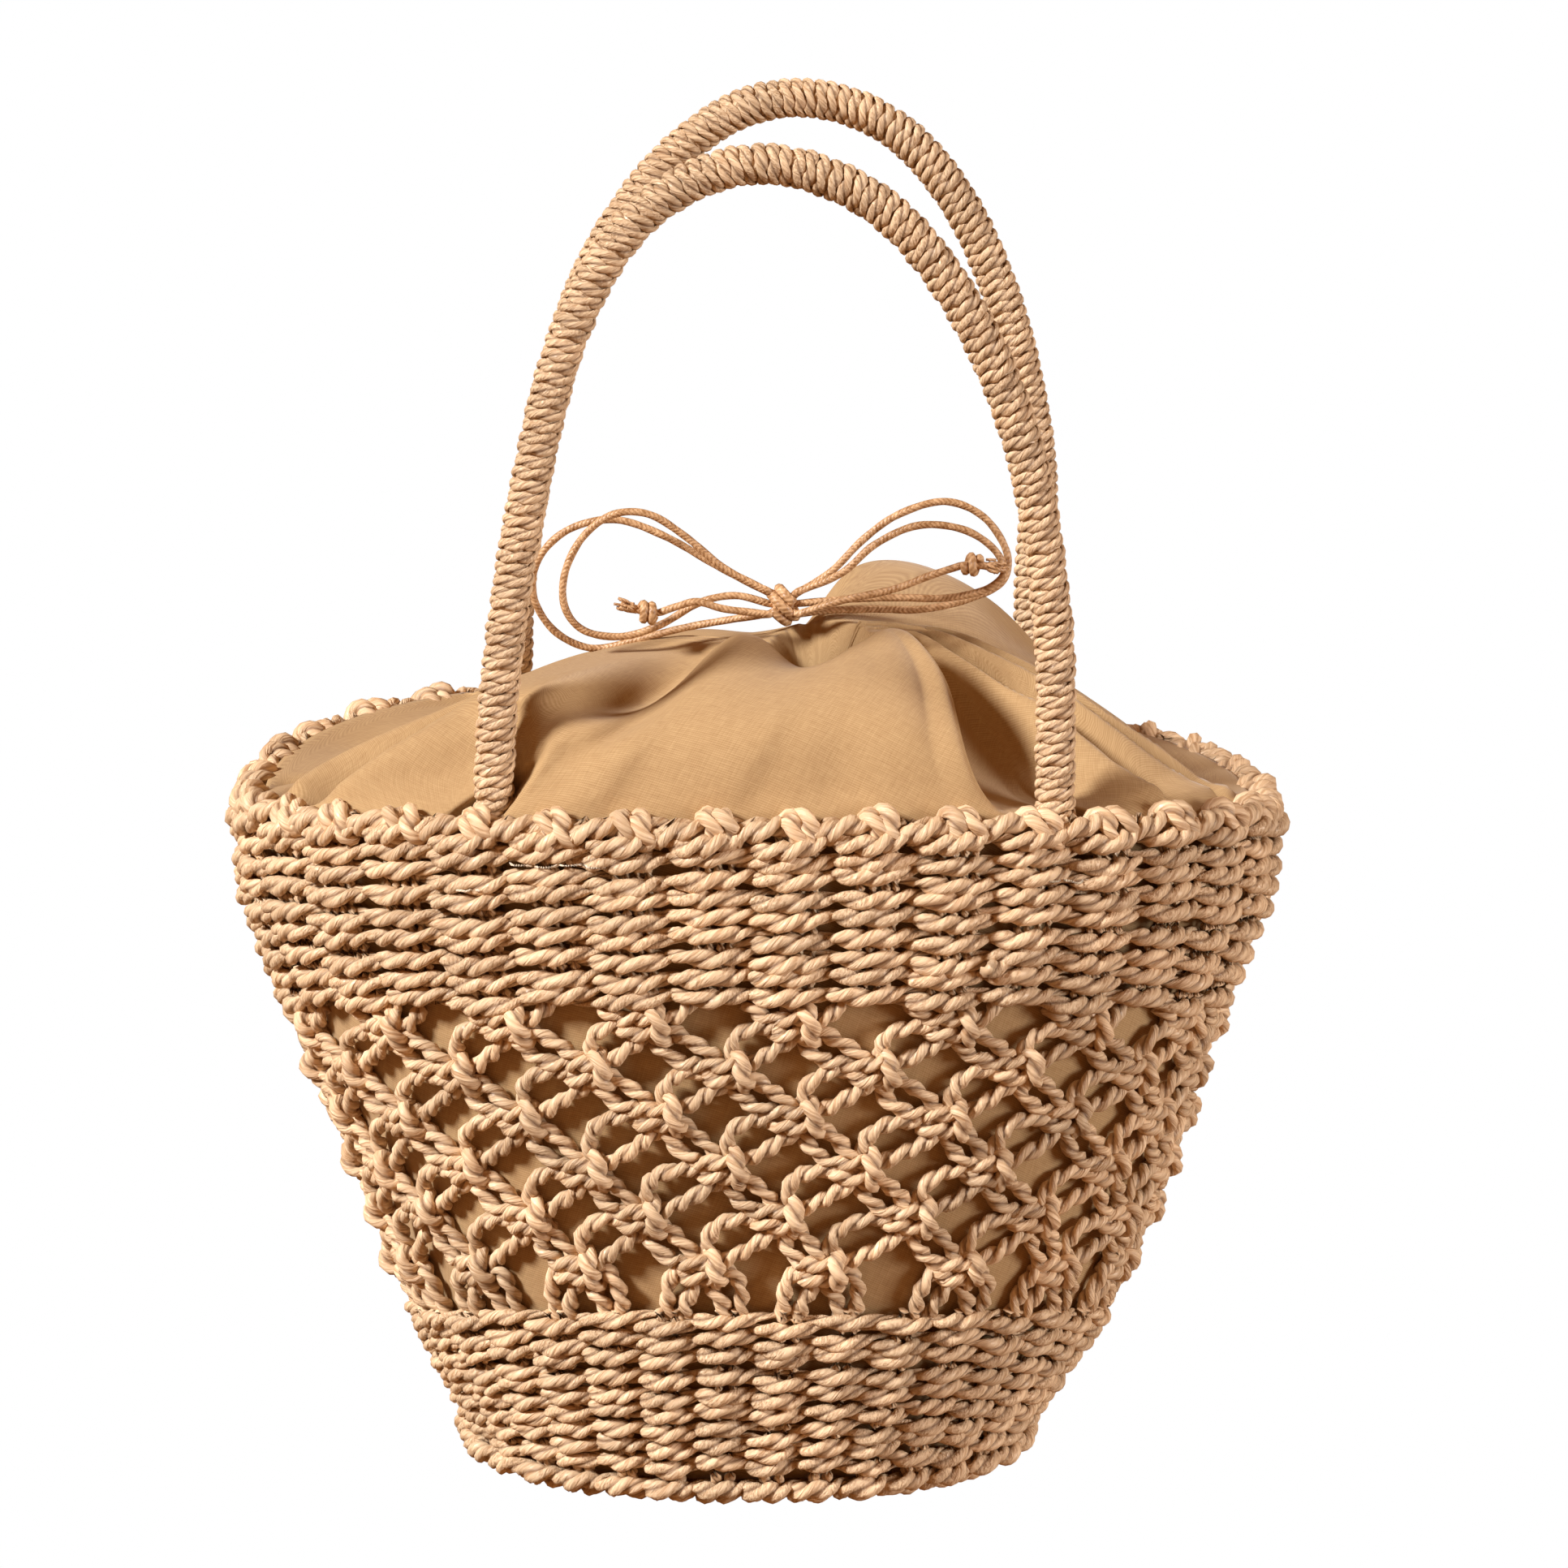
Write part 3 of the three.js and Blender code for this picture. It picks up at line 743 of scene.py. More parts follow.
@dataclass
class Studio:
    """The camera at the photograph's angle, a white sweep and soft light from the upper left.

    Attributes:
        pitch_down: How far the camera looks down, in degrees.
        key, fill: Where each light comes from, seen from the bag, its strength and its spread.
        ambient, ambient_tint: Strength and colour of the light from all round.
        sweep_back, sweep_bend: Where the sweep starts to rise behind the bag, and its radius there.
    """

    camera_at: Point = (7.7, -1700.0, 497.0)
    pitch_down: float = 10.13
    lens: float = 138.63
    sensor: float = 36.0
    key: tuple[Point, float, float] = ((-1.0, -0.58, 0.78), 5.25, 12.0)
    fill: tuple[Point, float, float] = ((1.0, -0.4, 0.14), 2.5, 24.0)
    ambient: float = 0.28
    ambient_tint: str = "FFB06E"
    floor_reach: float = 6000.0
    floor_drop: float = 0.2
    sweep_back: float = 900.0
    sweep_bend: float = 800.0
    sweep_steps: int = 16

    def set_camera(self) -> None:
        """Makes the camera and gives it to the scene."""
        data = bpy.data.cameras.new("camera")
        data.lens = self.lens
        data.sensor_width = self.sensor
        data.clip_end = 100.0
        camera = bpy.data.objects.new("camera", data)
        camera.location = [v * MM for v in self.camera_at]
        camera.rotation_euler = (math.radians(90 - self.pitch_down), 0.0, 0.0)
        bpy.context.scene.collection.objects.link(camera)
        bpy.context.scene.camera = camera

    def add_light(self, name: str, towards: Point, strength: float, spread: float) -> None:
        """Adds a far soft light that falls evenly on the bag and the sweep.

        Args:
            name: The light's name.
            towards: Where it comes from, seen from the bag.
            strength: Its power in watts for each square metre.
            spread: Its width as seen from the bag, in degrees.
        """
        data = bpy.data.lights.new(name, "SUN")
        data.energy = strength
        data.angle = math.radians(spread)
        lamp = bpy.data.objects.new(name, data)
        x, y, z = towards
        lamp.rotation_euler = (math.atan2(math.hypot(x, y), z), 0.0, math.atan2(y, x) + math.pi / 2)
        lamp.location = (x, y, z)
        bpy.context.scene.collection.objects.link(lamp)

    def light(self) -> None:
        """Sets the lights, the pale surroundings and a plain view of colours."""
        self.add_light("key_light", *self.key)
        self.add_light("fill_light", *self.fill)
        world = bpy.data.worlds.new("studio")
        world.use_nodes = True
        tree = world.node_tree
        tree.nodes.clear()
        seen = add_node(tree, "LightPath").outputs["Is Camera Ray"]
        power = add_node(tree, "MapRange", {0: seen, "To Min": self.ambient, "To Max": 1.0})
        # What the bag's own rope and the room throw back into its hollows is warm.
        tint = add_node(tree, "Mix", {
            0: seen, MIX_A: srgb(self.ambient_tint), MIX_B: srgb("FFFFFF")}, data_type="RGBA")
        back = add_node(tree, "Background", {0: tint.outputs[MIXED], 1: power.outputs[0]})
        add_node(tree, "OutputWorld", {0: back.outputs[0]})
        bpy.context.scene.world = world
        bpy.context.scene.view_settings.view_transform = "Standard"

    def lay_floor(self, finish: LitAcrylic) -> None:
        """Lays the floor just under the bag's foot.

        Args:
            finish: The floor's finish.
        """
        turn = np.linspace(0, math.pi / 2, self.sweep_steps)
        bend = self.sweep_bend
        run = [(-self.floor_reach, 0.0)]
        run += [(self.sweep_back + bend * math.sin(a), bend * (1 - math.cos(a))) for a in turn]
        run += [(self.sweep_back + bend, self.floor_reach)]
        points = [(x * MM, y * MM, z * MM) for x in (-self.floor_reach, self.floor_reach) for y, z in run]
        count = len(run)
        mesh = bpy.data.meshes.new("floor")
        mesh.from_pydata(points, [], [(i, count + i, count + i + 1, i + 1) for i in range(count - 1)])
        for face in mesh.polygons:
            face.use_smooth = True
        mesh.materials.append(finish.material())
        floor = bpy.data.objects.new("floor", mesh)
        floor.location.z = -self.floor_drop * MM
        # The sweep is only a white ground: the lamps alone shade the bag.
        floor.visible_diffuse = False
        floor.visible_glossy = False
        bpy.context.scene.collection.objects.link(floor)


# Points along each cord of the bow, from the knot and back to it, or along a tail to its end knot
CORD_ROUTES = {
    "left_outer_loop": (
        (3.6, -17.6, 251), (-10, -17, 258), (-26, -16, 267), (-40, -15, 271.5), (-53, -14, 268.5),
        (-61.5, -12, 260), (-63.2, -9, 249), (-57.5, -6, 238.5), (-47, -3, 233), (-35, -5, 235.5),
        (-22, -9, 239.5), (-9, -13, 242.5), (3.6, -17, 245)),
    "left_inner_loop": (
        (3.6, -22.4, 252), (-9, -23, 258.8), (-20, -24, 268), (-30, -25, 274.3), (-40, -25, 274.3),
        (-48.5, -25, 268), (-53.6, -25, 258), (-53.8, -24, 248), (-48.5, -22, 241), (-38, -20, 239),
        (-27, -21, 242.5), (-16, -22.5, 249), (-6, -22.5, 251), (3.6, -21.6, 248.6)),
    "right_outer_loop": (
        (11.4, -17.6, 251), (21, -17, 257), (30, -16, 266), (40, -15, 273), (53, -14, 276.5),
        (64, -14, 272), (70.5, -15, 262), (69, -17, 254), (60, -18, 249.5), (47, -18, 246.5),
        (32, -18, 246.5), (20, -17.5, 246), (11.4, -17, 245)),
    "right_inner_loop": (
        (11.4, -22.4, 252), (24, -23, 257.5), (33, -23.5, 265.5), (45, -24, 271), (57.5, -24, 270),
        (66.3, -23.5, 264.5), (69.4, -22.5, 257.5), (64, -22.5, 252.6), (53, -22.5, 250.3),
        (42, -22.5, 250.4), (31, -22, 250.2), (20, -21.8, 249.4), (11.4, -21.6, 248.6)),
    "left_tail": (
        (3.6, -24.6, 246), (-9, -26.5, 247.8), (-16.4, -27.5, 250), (-22, -28, 248.8), (-27.2, -28, 247)),
    "right_tail": (
        (11.4, -24.6, 246), (24.5, -27, 250.4), (38, -28, 253.5), (49, -28, 257.6), (57, -28, 260.2)),
}


@dataclass
class Drawstring:
    """The waxed cord that draws the lining shut, tied in a bow of doubled loops with knotted tails.

    Attributes:
        step: Distance between a cord's points.
        braid_pitch: Length of one turn of the cord's four strands.
        bow_cord, end_cord: Radius of the cord in the bow knot and in the end knots, where it is bunched.
        end_knots, end_axes: Middle of each end knot, and the way that its cord comes out.
        turn_steps: Points round one wrap.
        barrel: How much smaller the outermost wraps are, as a share.
        bunch_half, bunch_radius: Half length and radius of the cord bunched in the bow knot.
        hairs, hair_start: Threads of a frayed tip, and how far from the knot's middle they start.
        hair_scatter: How far a thread's start, end and middle stray.
    """

    finish: bpy.types.Material
    diameter: float = 2.2
    step: float = 1.1
    braid_pitch: float = 60.0
    bow_at: Point = (7.5, -20.0, 248.0)
    bow_axis: Point = (0.77, 0.0, 0.64)
    bow_length: float = 5.8
    bow_radius: float = 6.2
    bow_turns: float = 2.1
    bow_cord: float = 1.5
    end_knots: dict[str, Point] = field(default_factory=lambda: {
        "left": (-30.4, -28.0, 247.0), "right": (60.2, -28.0, 260.6)})
    end_axes: dict[str, Point] = field(default_factory=lambda: {
        "left": (-1.0, -0.05, 0.3), "right": (1.0, -0.05, -0.1)})
    end_knot_length: float = 4.4
    end_knot_radius: float = 3.5
    end_turns: float = 1.9
    end_cord: float = 1.25
    turn_steps: int = 28
    barrel: float = 0.18
    bunch_half: float = 3.0
    bunch_radius: float = 3.6
    hairs: int = 26
    hair_radius: float = 0.42
    hair_start: float = 4.0
    hair_lengths: tuple[float, float] = (2.4, 4.6)
    hair_scatter: Point = (0.55, 0.75, 0.35)
    seeds: dict[str, int] = field(default_factory=lambda: {"left": 5, "right": 6})

    def cord(self, radius: float, groove: float = 0.96) -> Rope:
        """Gives the cord as a smooth rope of four strands."""
        return Rope(radius=radius, pitch=self.braid_pitch, plies=4, groove=groove)

    def build(self) -> None:
        """Makes the bow, its loops, and the tails with their knots."""
        rope = self.cord(self.diameter / 2)
        self.tie_bow(rope)
        knots = {side: self.tie_end(side, rope) for side in self.end_knots}
        for name, route in CORD_ROUTES.items():
            curve = spline(np.array(route, float)[None])
            count = round(line_length(curve[0]) / self.step)
            (line,) = even(curve, count)
            patch = rope.sweep(line, -DEEP)
            piece = make_piece(f"{name}_cord", [patch], self.finish, Slot.WAXED_CORD, name)

    def coil(
        self, rope: Rope, centre: Array, axis: Array, length: float, radius: float, turns: float
    ) -> Patch:
        """Winds cord round an axis as a knot's wraps.

        Args:
            rope: The cord.
            centre: The middle of the wraps.
            axis: The direction that they go along.
            length: How far they go.
            radius: Their outer radius.
            turns: How many there are.

        Returns:
            The wound cord.
        """
        across = unit(np.cross(axis, UP + 0.3 * DEEP))
        over = np.cross(axis, across)
        reach = radius - rope.radius
        t = np.linspace(0, 1, int(turns * self.turn_steps))[:, None]
        turn = math.tau * turns * t
        way = np.cos(turn) * across + np.sin(turn) * over
        barrel = 1 - self.barrel * (2 * t - 1) ** 2
        line = centre + axis * length * (t - 0.5) + way * reach * barrel
        return rope.sweep(line[None], way[None])

    def tie_bow(self, rope: Rope) -> None:
        """Makes the bow's knot: slanting wraps over the cords, which run on into it.

        Args:
            rope: The cord.
        """
        centre = np.array(self.bow_at)
        axis = unit(np.array(self.bow_axis))
        thick = self.cord(self.bow_cord)
        wraps = self.coil(thick, centre, axis, self.bow_length, self.bow_radius, self.bow_turns)
        # Each cord bends into the knot and runs on a little beyond its middle.
        stubs = []
        for name, route in CORD_ROUTES.items():
            ends = [route[:2]] if name.endswith("tail") else [route[:2], route[:-3:-1]]
            for end, inner in ends:
                end, back = np.array(end), unit(np.array(inner) - end)
                beyond = centre + (centre - end) * [0.3, 0, 0]
                stubs.append([end + 2 * back, end, (end + centre) / 2, beyond])
        lines = spline(np.array(stubs), 4)
        fill = rope.sweep(lines, -DEEP)
        core = centre + np.linspace(-self.bunch_half, self.bunch_half, 5)[:, None] * [1.0, 0.0, 0.0]
        bunch = self.cord(self.bunch_radius, groove=0.9).sweep(core[None], UP)
        make_piece("bow_knot_wraps", [wraps, fill, bunch], self.finish, Slot.WAXED_CORD, "bow_knot")

    def tie_end(self, side: str, rope: Rope) -> bpy.types.Object:
        """Makes a tail's overhand knot with the cord's frayed tip beyond it.

        Args:
            side: Which tail.
            rope: The cord.

        Returns:
            The knot's piece.
        """
        rng = np.random.default_rng(self.seeds[side])
        centre = np.array(self.end_knots[side])
        out = unit(np.array(self.end_axes[side]))
        thick = self.cord(self.end_cord)
        wraps = self.coil(thick, centre, out, self.end_knot_length, self.end_knot_radius, self.end_turns)
        before, last = (np.array(point) for point in CORD_ROUTES[f"{side}_tail"][-2:])
        back = unit(before - last)
        core = spline(np.array([last + 2 * back, last, centre, centre + 2.6 * out, centre + 4.6 * out]), 4)
        through = rope.sweep(core[None], UP)
        tips = []
        at_start, at_end, at_middle = self.hair_scatter
        for _ in range(self.hairs):
            start = centre + out * self.hair_start + rng.normal(0, at_start, 3)
            end = start + out * rng.uniform(*self.hair_lengths) + rng.normal(0, at_end, 3)
            middle = (start + end) / 2 + rng.normal(0, at_middle, 3)
            tips.append(spline(np.array([start, middle, end]), 3))
        hair = Rope(radius=self.hair_radius, pitch=self.braid_pitch, groove=0.8)
        fray = hair.sweep(np.array(tips), DEEP + 0.2 * UP)
        patches = [wraps, through, fray]
        return make_piece(f"{side}_tail_knot", patches, self.finish, Slot.WAXED_CORD, f"{side}_end_knot")


@dataclass
class Twining:
    """Strands that pass in turn before and behind the stakes and twist round each other between them.

    Attributes:
        columns: Stake groups round the bag.
        over: Stake groups that a strand passes before going behind one.
        phase: Place of the first column, in columns from the front centre.
        front, back: Insets of a strand in front of the stakes and behind them.
        start, end: Insets where a pass comes forward at its left end and dives at its right end.
        rejoin: How much deeper than start a strand comes up from behind the stakes.
        climb: How far a pass rises above its row's middle at its right end.
        sag: How far its middle hangs.
        stagger: How far every other strand's passes lie above or below the row's middle.
        front_steps, back_steps: Points along each pass.
        front_girth, back_girth: Swell at a pass's start, middle and end, before and behind the stakes.
        waves, loose: How often and how far a row wanders up and down; its strands stray as far.
        aside_jig, inset_jig, girth_jig, tone_jig: How far a strand strays aside, inwards, in size and tone.
    """

    columns: int = 36
    over: int = 1
    phase: float = 0.5
    front: float = 0.9
    back: float = 5.9
    start: float = 2.1
    end: float = 5.2
    rejoin: float = 1.2
    climb: float = 0.7
    sag: float = 1.3
    stagger: float = 1.1
    front_steps: int = 16
    back_steps: int = 7
    front_girth: Point = (0.84, 1.08, 0.52)
    back_girth: Point = (0.52, 0.5, 0.6)
    waves: int = 12
    loose: float = 0.9
    aside_jig: float = 0.6
    inset_jig: float = 0.3
    girth_jig: float = 0.07
    tone_jig: float = 0.35

    @staticmethod
    def swing(way: Array, start: float, middle: float, end: float) -> Array:
        """Runs smoothly from a start through a middle, a little before half way, to an end.

        Args:
            way: Shares of the way along a pass.
            start: Value at its start.
            middle: Value at its middle.
            end: Value at its end.

        Returns:
            The value at each share.
        """
        crest = 0.4
        before = np.clip(1 - way / crest, 0, 1) ** 2
        after = np.clip((way - crest) / (1 - crest), 0, 1) ** 2
        return middle + (start - middle) * before + (end - middle) * after

    def weave(
        self, wall: BagWall, levels: Array, rng: np.random.Generator
    ) -> tuple[Array, Array, Array, Array]:
        """Lays the strands of each row.

        Args:
            wall: The wall that they form.
            levels: Each row's level.
            rng: Seeded source of the hand's unevenness.

        Returns:
            Lines, outward directions, swell and tone, a line for each strand of each row.
        """
        strands = self.over + 1
        p = (np.arange(self.front_steps) + 0.5) / self.front_steps
        q = (np.arange(self.back_steps) + 0.5) / self.back_steps
        at = np.concatenate([self.over * p - 0.5, self.over - 0.5 + q])
        inset = np.concatenate([
            self.swing(p, self.start, self.front, self.end),
            self.swing(q, self.end, self.back, self.start + self.rejoin)])
        lift = np.concatenate([
            self.climb * (2 * p - 1) - self.sag * np.sin(math.pi * p), self.climb * np.cos(math.pi * q)])
        girth = np.concatenate([self.swing(p, *self.front_girth), self.swing(q, *self.back_girth)])
        periods = self.columns // strands
        column = (at[None] + strands * np.arange(periods)[:, None]).ravel()
        inset, lift, girth = (np.tile(v, periods) for v in (inset, lift, girth))

        lines, outs, swells, tones = [], [], [], []
        for level in levels:
            wave = ripple(rng, 1, self.waves, column * self.waves / self.columns)[0] * self.loose
            for strand in range(strands):
                here = column + strand
                share = (here + self.phase) / self.columns
                jig = ripple(rng, 4, self.columns, here)
                up = lift + wave + jig[0] * self.loose + self.stagger * (strand - (strands - 1) / 2)
                row = np.full_like(share, level)
                share, height = wall.shift(share, row, jig[3] * self.aside_jig, up)
                lines.append(wall.place(share, height, inset + jig[1] * self.inset_jig))
                outs.append(wall.outward(share, row))
                swells.append(girth * (1 + jig[2] * self.girth_jig))
                tones.append(0.5 + self.tone_jig * ripple(rng, 1, self.columns, here)[0])
        return np.array(lines), np.array(outs), np.array(swells), np.array(tones)


@dataclass
class TwinedBand:
    """A close band of twined rows over upright stakes.

    Attributes:
        node: The CAD node that it stands for.
        low, high: Levels of the lowest and highest row.
        foot, head: Levels that the stakes run between.
        stake_spread: Distance between a stake's strands.
        stake_jig, stake_sway: How far a strand stands aside, and how far it sways on its way up.
        row_jig: How far a row strays from its level, as a share of the rows' distance.
    """

    finish: bpy.types.Material
    wall: BagWall
    rope: Rope
    twining: Twining
    node: str
    low: float
    high: float
    rows: int
    foot: float
    head: float
    stake_strands: int
    stake_radius: float
    stake_spread: float
    seed: int
    stake_inset: float = 3.4
    stake_steps: int = 20
    stake_pitch: float = 9.0
    stake_jig: float = 0.25
    stake_sway: float = 0.4
    row_jig: float = 0.09

    def build(self) -> None:
        """Makes the band's wefts and stakes."""
        rng = np.random.default_rng(self.seed)
        gap = (self.high - self.low) / (self.rows - 1)
        levels = np.linspace(self.low, self.high, self.rows)
        levels = levels + rng.uniform(-self.row_jig, self.row_jig, self.rows) * gap
        lines, outs, swells, tones = self.twining.weave(self.wall, levels, rng)
        phase = rng.uniform(0, math.tau, len(lines))
        wefts = self.rope.sweep(lines, outs, swells, tones, closed=True, phase=phase)
        make_piece(f"{self.node}_wefts", [wefts], self.finish, Slot.PAPER_ROPE, self.node)
        make_piece(f"{self.node}_stakes", [self.stakes(rng)], self.finish, Slot.PAPER_ROPE)

    def stakes(self, rng: np.random.Generator) -> Patch:
        """Stands the stakes' strands behind the wefts.

        Args:
            rng: Seeded source of their unevenness.

        Returns:
            The strands.
        """
        columns = self.twining.columns
        strand = np.arange(self.stake_strands) - (self.stake_strands - 1) / 2
        share = ((np.arange(columns) + self.twining.phase) / columns)[:, None] * np.ones(self.stake_strands)
        aside = strand * self.stake_spread + rng.normal(0, self.stake_jig, share.shape)
        level = np.linspace(self.foot, self.head, self.stake_steps)
        share, aside = share.reshape(-1, 1), aside.reshape(-1, 1)
        level = np.broadcast_to(level, (len(share), self.stake_steps))
        sway = ripple(rng, len(share), 7, np.linspace(0, 6, self.stake_steps)) * self.stake_sway
        shares, _ = self.wall.shift(np.broadcast_to(share, level.shape), level, aside + sway, 0.0)
        lines = self.wall.place(shares, level, self.stake_inset)
        rope = Rope(radius=self.stake_radius, pitch=self.stake_pitch, sides=6, groove=0.75)
        tones = rng.uniform(0.3, 0.9, len(lines))
        phase = rng.uniform(0, math.tau, len(lines))
        return rope.sweep(lines, self.wall.outward(shares, level), 1.0, tones, phase=phase)


class Knot(Enum):
    """Which knot of the net a control point is measured from."""

    HERE = (0, 0)
    UPPER_LEFT = (-1, 0)
    UPPER_RIGHT = (-1, 1)
    LOWER_LEFT = (1, 0)
    LOWER_RIGHT = (1, 1)


@dataclass(frozen=True)
class Spot:
    """A control point of a strand in the net.

    Attributes:
        knot: The knot that it is measured from.
        across, up, out: Millimetres from that knot; shares of the way across and down where toward is set.
        toward: The knot that the way leads to.
    """

    knot: Knot
    across: float
    up: float
    out: float
    toward: Knot | None = None


def near(knot: Knot, *rows: Point) -> tuple[Spot, ...]:
    """Sets points across, up and out from one knot."""
    return tuple(Spot(knot, *row) for row in rows)


def link(knot: Knot, toward: Knot, *rows: Point) -> tuple[Spot, ...]:
    """Sets points by their shares of the way across and down to another knot, and how far out they are."""
    return tuple(Spot(knot, *row, toward) for row in rows)


# Stretches of the net's strands: the core strands' ways into, through and out of a knot
LEFT_CORE_IN = link(
    Knot.UPPER_LEFT, Knot.HERE,
    (0.12, 0.05, -0.9), (0.3, 0.16, 0.2), (0.52, 0.35, 1.1), (0.72, 0.56, 1.3), (0.88, 0.78, 0.6))
LEFT_CORE_FROM_BAND = near(Knot.HERE, (-4.6, 10.5, -1.8), (-3.0, 6.2, 0.0))
LEFT_CORE = near(Knot.HERE, (-1.6, 2.6, -0.4), (-1.4, 0.0, -0.6), (-1.2, -3.2, -0.4))
LEFT_CORE_OUT = link(
    Knot.HERE, Knot.LOWER_LEFT,
    (0.07, 0.3, 0.4), (0.23, 0.45, 0.9), (0.46, 0.66, 1.1), (0.66, 0.83, 0.3), (0.84, 0.95, -0.9))
LEFT_CORE_TO_BAND = near(Knot.HERE, (-3.6, -7.0, 0.4), (-5.4, -10.5, 0.4), (-6.4, -15.0, -1.2))

RIGHT_CORE_IN = link(
    Knot.UPPER_RIGHT, Knot.HERE,
    (0.12, 0.02, -0.7), (0.36, 0.02, 0.3), (0.66, 0.08, 1.1), (0.87, 0.27, 1.3), (0.95, 0.58, 0.6))
RIGHT_CORE_FROM_BAND = near(Knot.HERE, (3.6, 10.5, -1.8), (2.2, 6.2, 0.0))
RIGHT_CORE = near(Knot.HERE, (1.0, 2.6, -0.4), (0.9, 0.0, -0.6), (0.8, -3.2, -0.4))
RIGHT_CORE_OUT = link(Knot.HERE, Knot.LOWER_RIGHT, (0.07, 0.42, 0.4), (0.2, 0.64, 0.9), (0.43, 0.83, 1.1))
RIGHT_CORE_TO_BAND = near(Knot.HERE, (2.8, -7.0, 0.4), (5.0, -10.5, 0.4), (6.2, -15.0, -1.2))

# The bars that cross a knot before and behind its cores, and the loop round its side
UPPER_BAR = ((-7.2, 1.7, 1.0), (-3.6, 1.9, 2.1), (0.0, 2.1, 2.1), (3.0, 2.2, 0.7), (4.2, 1.9, -0.9))
LOWER_BAR = near(
    Knot.HERE, (3.6, -1.6, -0.9), (2.0, -2.2, 1.2), (-1.6, -2.5, 2.2), (-5.0, -2.3, 1.8), (-7.2, -1.6, 0.3),
    (-5.6, -0.8, -1.2))
LOOP = near(
    Knot.HERE, (1.8, 2.6, -1.4), (2.4, 4.3, 0.6), (3.0, 3.2, 3.2), (3.6, 0.2, 4.1), (4.1, -2.6, 3.2),
    (4.4, -4.3, 0.6), (4.0, -2.6, -1.4))

# Ways between the net and the bands above and below it
UPPER_BAR_FROM_BAND = near(Knot.HERE, (-13.6, 7.0, -1.8), (-10.6, 3.4, 0.4))
SIDE_FROM_BAND = near(Knot.HERE, (12.6, 7.0, -1.8), (9.6, 3.0, 0.4), (6.6, 1.2, 0.2), (3.8, 0.9, -0.9))
LEFT_OUT_TO_BAND = near(
    Knot.HERE, (-2.0, -0.4, -0.7), (-6.6, -0.4, 0.3), (-9.4, -2.8, 0.9), (-10.8, -8.0, 0.4),
    (-10.6, -15.0, -1.2))
RIGHT_OUT_TO_BAND = near(
    Knot.HERE, (3.2, -0.4, -0.9), (7.0, -0.7, 0.2), (9.6, -3.4, 0.9), (10.6, -8.5, 0.4), (10.4, -15.0, -1.2))


